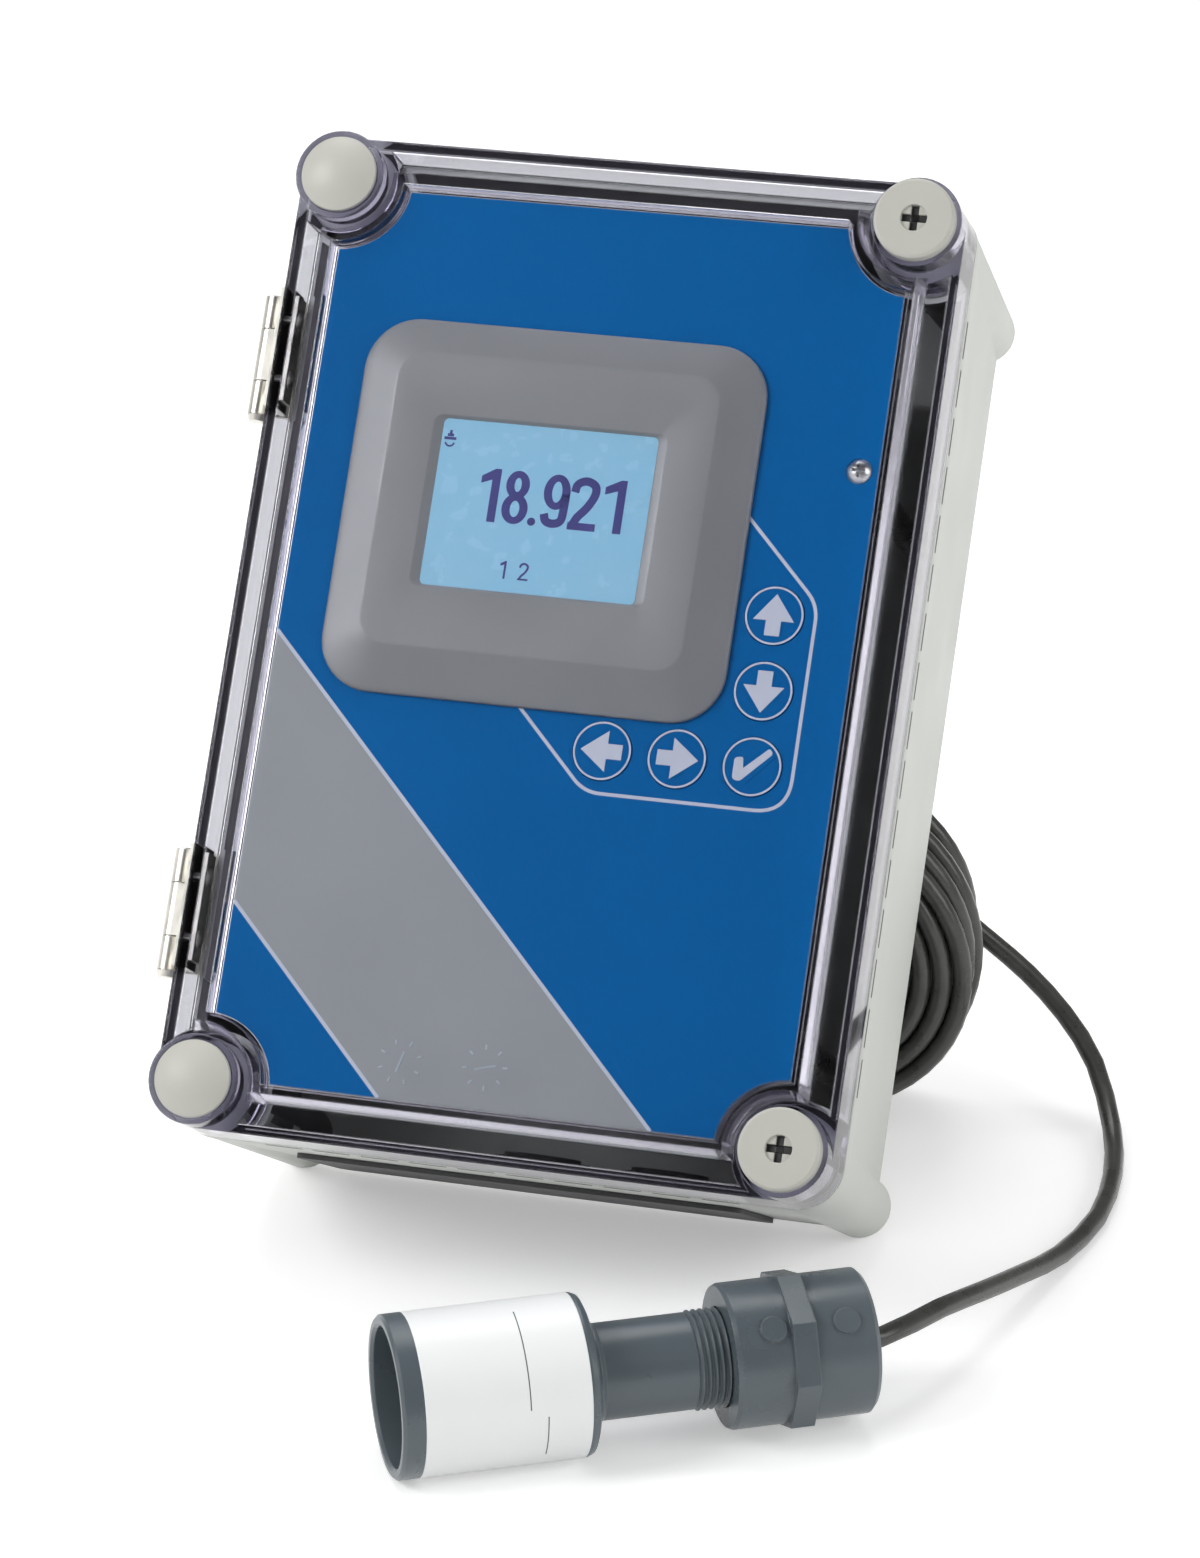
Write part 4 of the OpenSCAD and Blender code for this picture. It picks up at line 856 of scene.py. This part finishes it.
# Cable: one curve from inside the coupling, over the ground and into the coil
cable_from = MOUTH_AT + STEM_END * SENSOR_DIR
socket_end = MOUTH_AT + SENSOR_LEN * SENSOR_DIR
coil_z = COIL_R + BUNDLE_R
coil_reach = (
    (coil_z - BUNDLE_ROUND) * math.sin(LEAN) + (BUNDLE_W - BUNDLE_ROUND) * math.cos(LEAN) + BUNDLE_ROUND
)
coil_dy = (coil_reach + math.sin(LEAN) * (coil_z - LIFT) - FOOT_PROUD + COIL_GAP) / math.cos(LEAN)
coil_at = Vector((MONITOR_X + COIL_DX, MONITOR_Y + coil_dy, coil_z))
CABLE_GROUND = [
    (116, -57, 20), (123, -36, 15.5), (129, -12, 9.5), (135, 13, 4), (140, 40, CABLE_R), (139, 68, CABLE_R),
    (134, 92, 5.5), (125, 110, 17), (114, 118, 28),
]
CABLE_TO_COIL = [
    (62, BUNDLE_W + 4.5, -14), (51, BUNDLE_W + 4.8, -5.5), (40, BUNDLE_W + 3.8, 3.5),
    (31, BUNDLE_W + 2.7, 12), (22.5, BUNDLE_W + 0.4, 20),
]
LEAD_INSIDE = 9
LEAD_OUTSIDE = 5
route = [cable_from, cable_from + LEAD_INSIDE * SENSOR_DIR, socket_end + LEAD_OUTSIDE * SENSOR_DIR]
route += [Vector(p) for p in CABLE_GROUND]
route += [coil_at + Vector(p) for p in CABLE_TO_COIL]

# Coil: close-packed turns. Each stays in its slot for one turn and moves to the next at the turn's end.
# The end slots of the wide rows are left early, so that the turn before can move in behind.
LAY_PITCH = 5.6
ROW_PITCH = LAY_PITCH * math.sqrt(0.75)
ROW_COUNTS = [4, 5, 4, 5, 4, 5, 4]
MIDDLE_ROW = len(ROW_COUNTS) // 2
WIDE_ROW = max(ROW_COUNTS)
COIL_START = math.radians(68)
TURN_STEPS = 54
SHIFT_SHARE = 0.28
EARLY_SHARE = 0.25
TWIST = math.radians(13)
FAN = 0.08
SEEN_TURN = 0.25
SEEN_SPREAD = 1.2
slots = []
slot_ends = []
for row, count in enumerate(ROW_COUNTS):
    order = list(range(count))
    if row % 2:
        order.reverse()
    for i in order:
        slots.append(Vector(((i - (count - 1) / 2) * LAY_PITCH, (MIDDLE_ROW - row) * ROW_PITCH)))
        early = EARLY_SHARE if count == WIDE_ROW and i in (0, count - 1) else 0
        slot_ends.append((slot_ends[-1] if slot_ends else 0) + 1 - early)
coil_steps = int((slot_ends[-1] - SHIFT_SHARE) * TURN_STEPS)


def coil_point(step):
    """Point of the winding after a number of steps, in a bundle that twists and opens on its seen side."""
    turns = step / TURN_STEPS
    index = sum(end <= turns for end in slot_ends)
    after = min(index + 1, len(slots) - 1)
    move = max(0.0, 1 - (slot_ends[index] - turns) / SHIFT_SHARE)
    place = slots[index].lerp(slots[after], move * move * (3 - 2 * move))
    angle = COIL_START + 2 * math.pi * turns
    seen = max(0.0, math.cos(SEEN_SPREAD * math.remainder(angle + SEEN_TURN, 2 * math.pi))) ** 2
    place = Matrix.Rotation(TWIST * seen, 2) @ place * (1 + FAN * seen)
    out = COIL_R + place.x
    return coil_at + Vector((out * math.cos(angle), place.y, out * math.sin(angle)))


LEAD_IN = (0, 4, 8, 12)
path = smooth_points(route + [coil_point(step) for step in LEAD_IN], 2)
path += [coil_point(step) for step in range(LEAD_IN[-1] + 1, coil_steps)]
for point in path:
    point.z = max(point.z, CABLE_R)

# Bare end: tinned braid and core, past the cut jacket; (distance past the cut, radius) of each ring
end_at = path[-1]
end_way = (path[-1] - path[-2]).normalized()
END_RINGS = [
    (-0.5, 2.3), (0.0, 2.3), (3.6, 2.2), (4.0, 1.9), (4.0, 1.5), (8.0, 1.5), (8.2, 1.4), (8.2, 0.55),
    (14.0, 0.5), (14.3, 0.2),
]
END_COUNT = 16
end_mesh = revolved("cable_end", END_RINGS, axis_frame(end_at, end_way), END_COUNT)
cable_end = add_piece("cable_end", end_mesh, looks["zinc_steel"], "enclosure")

cable = bpy.data.curves.new("cable", "CURVE")
cable.dimensions = "3D"
cable.bevel_depth = CABLE_R * MM
cable.bevel_resolution = 3
cable.use_fill_caps = True
spline = cable.splines.new("POLY")
spline.points.add(len(path) - 1)
spline.use_smooth = True
for point, place in zip(spline.points, path):
    point.co = (*(place * MM), 1)
cord = bpy.data.objects.new("cable", cable)
scene.collection.objects.link(cord)
cable.materials.append(looks["cable_jacket"])
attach(cord, "enclosure")
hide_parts("sensor_cable", "cable_coil")

# Floor, light and camera, in metres
FLOOR_HALF = 6.0
FLOOR_GLOW = 0.37
ROOM_LIGHT = 0.47
floor_mesh = bpy.data.meshes.new("floor")
corners = [(sx * FLOOR_HALF, sy * FLOOR_HALF, 0) for sx, sy in ((-1, -1), (1, -1), (1, 1), (-1, 1))]
floor_mesh.from_pydata(corners, [], [(0, 1, 2, 3)])
floor = bpy.data.objects.new("floor", floor_mesh)
scene.collection.objects.link(floor)
floor_look, tree, bsdf = new_material("floor")
bsdf.inputs["Base Color"].default_value = (0.86, 0.86, 0.86, 1)
bsdf.inputs["Roughness"].default_value = 0.9
bsdf.inputs["Specular IOR Level"].default_value = 0.0
glow = add(tree, "ShaderNodeEmission")
rays = add(tree, "ShaderNodeLightPath").outputs
seen = combined(tree, "MAXIMUM", rays["Is Camera Ray"], rays["Is Glossy Ray"])
seen = combined(tree, "MAXIMUM", seen, rays["Is Transmission Ray"])
tree.links.new(combined(tree, "MULTIPLY", seen, FLOOR_GLOW), glow.inputs["Strength"])
both = add(tree, "ShaderNodeAddShader")
tree.links.new(bsdf.outputs["BSDF"], both.inputs[0])
tree.links.new(glow.outputs["Emission"], both.inputs[1])
tree.links.new(both.outputs["Shader"], tree.nodes["Material Output"].inputs["Surface"])
floor_mesh.materials.append(floor_look)

world = bpy.data.worlds.new("studio")
scene.world = world
world.use_nodes = True
tree = world.node_tree
sky = tree.nodes["Background"]
sky.inputs["Color"].default_value = (1, 1, 1, 1)
coords = add(tree, "ShaderNodeTexCoord")
split = add(tree, "ShaderNodeSeparateXYZ")
tree.links.new(coords.outputs["Generated"], split.inputs["Vector"])
rays = add(tree, "ShaderNodeLightPath").outputs
mirrored = combined(tree, "MAXIMUM", rays["Is Glossy Ray"], rays["Is Transmission Ray"])
# The mirrored room is bright near the ground and to the left
low_glow = ranged(tree, split.outputs["Z"], 1.0, 0.05, 0.05, 0.4)
left_glow = ranged(tree, split.outputs["X"], 1.0, 0.4, -0.5, 0.3)
light = add(tree, "ShaderNodeMix", {"A": ROOM_LIGHT})
tree.links.new(mirrored, light.inputs["Factor"])
tree.links.new(combined(tree, "MULTIPLY", low_glow, left_glow), light.inputs["B"])
shown = add(tree, "ShaderNodeMix", {"B": 1.0})
tree.links.new(rays["Is Camera Ray"], shown.inputs["Factor"])
tree.links.new(light.outputs["Result"], shown.inputs["A"])
tree.links.new(shown.outputs["Result"], sky.inputs["Strength"])


AIM = Vector((0, 0, 0.12))
# Name, place, size and power of each lamp
LAMPS = [
    ("top_box", (-0.4, 0.9, 2.2), (1.6, 1.2), 20),
    ("right_box", (2.2, -0.5, 1.2), (1.2, 1.4), 18),
    ("left_box", (-1.4, -1.06, 1.34), (0.9, 0.9), 22),
]


def softbox(name, at, size, power):
    """Area lamp aimed at the middle of the object."""
    lamp = bpy.data.lights.new(name, "AREA")
    lamp.shape = "RECTANGLE"
    lamp.size, lamp.size_y = size
    lamp.energy = power
    holder = bpy.data.objects.new(name, lamp)
    holder.location = at
    holder.rotation_euler = (AIM - Vector(at)).to_track_quat("-Z", "Y").to_euler()
    scene.collection.objects.link(holder)


for lamp in LAMPS:
    softbox(*lamp)

# Camera fitted to the photo: its place, and its axes as the columns of the rotation
CAMERA_AT = Vector((411.8, -1455.4, 771.3)) * MM
CAMERA_AXES = ((0.96318, -0.10391, 0.24795), (0.26884, 0.37227, -0.88834), (0.0, 0.92229, 0.38650))
SENSOR_MM = 36.0
FOCAL_PX = 6000.0
IMAGE_H = 1558
lens = bpy.data.cameras.new("camera")
lens.sensor_width = SENSOR_MM
lens.lens = FOCAL_PX * SENSOR_MM / IMAGE_H
camera = bpy.data.objects.new("camera", lens)
camera.matrix_world = Matrix.Translation(CAMERA_AT) @ Matrix(CAMERA_AXES).to_4x4()
scene.collection.objects.link(camera)
scene.camera = camera
scene.view_settings.view_transform = "Standard"

bpy.context.view_layer.update()
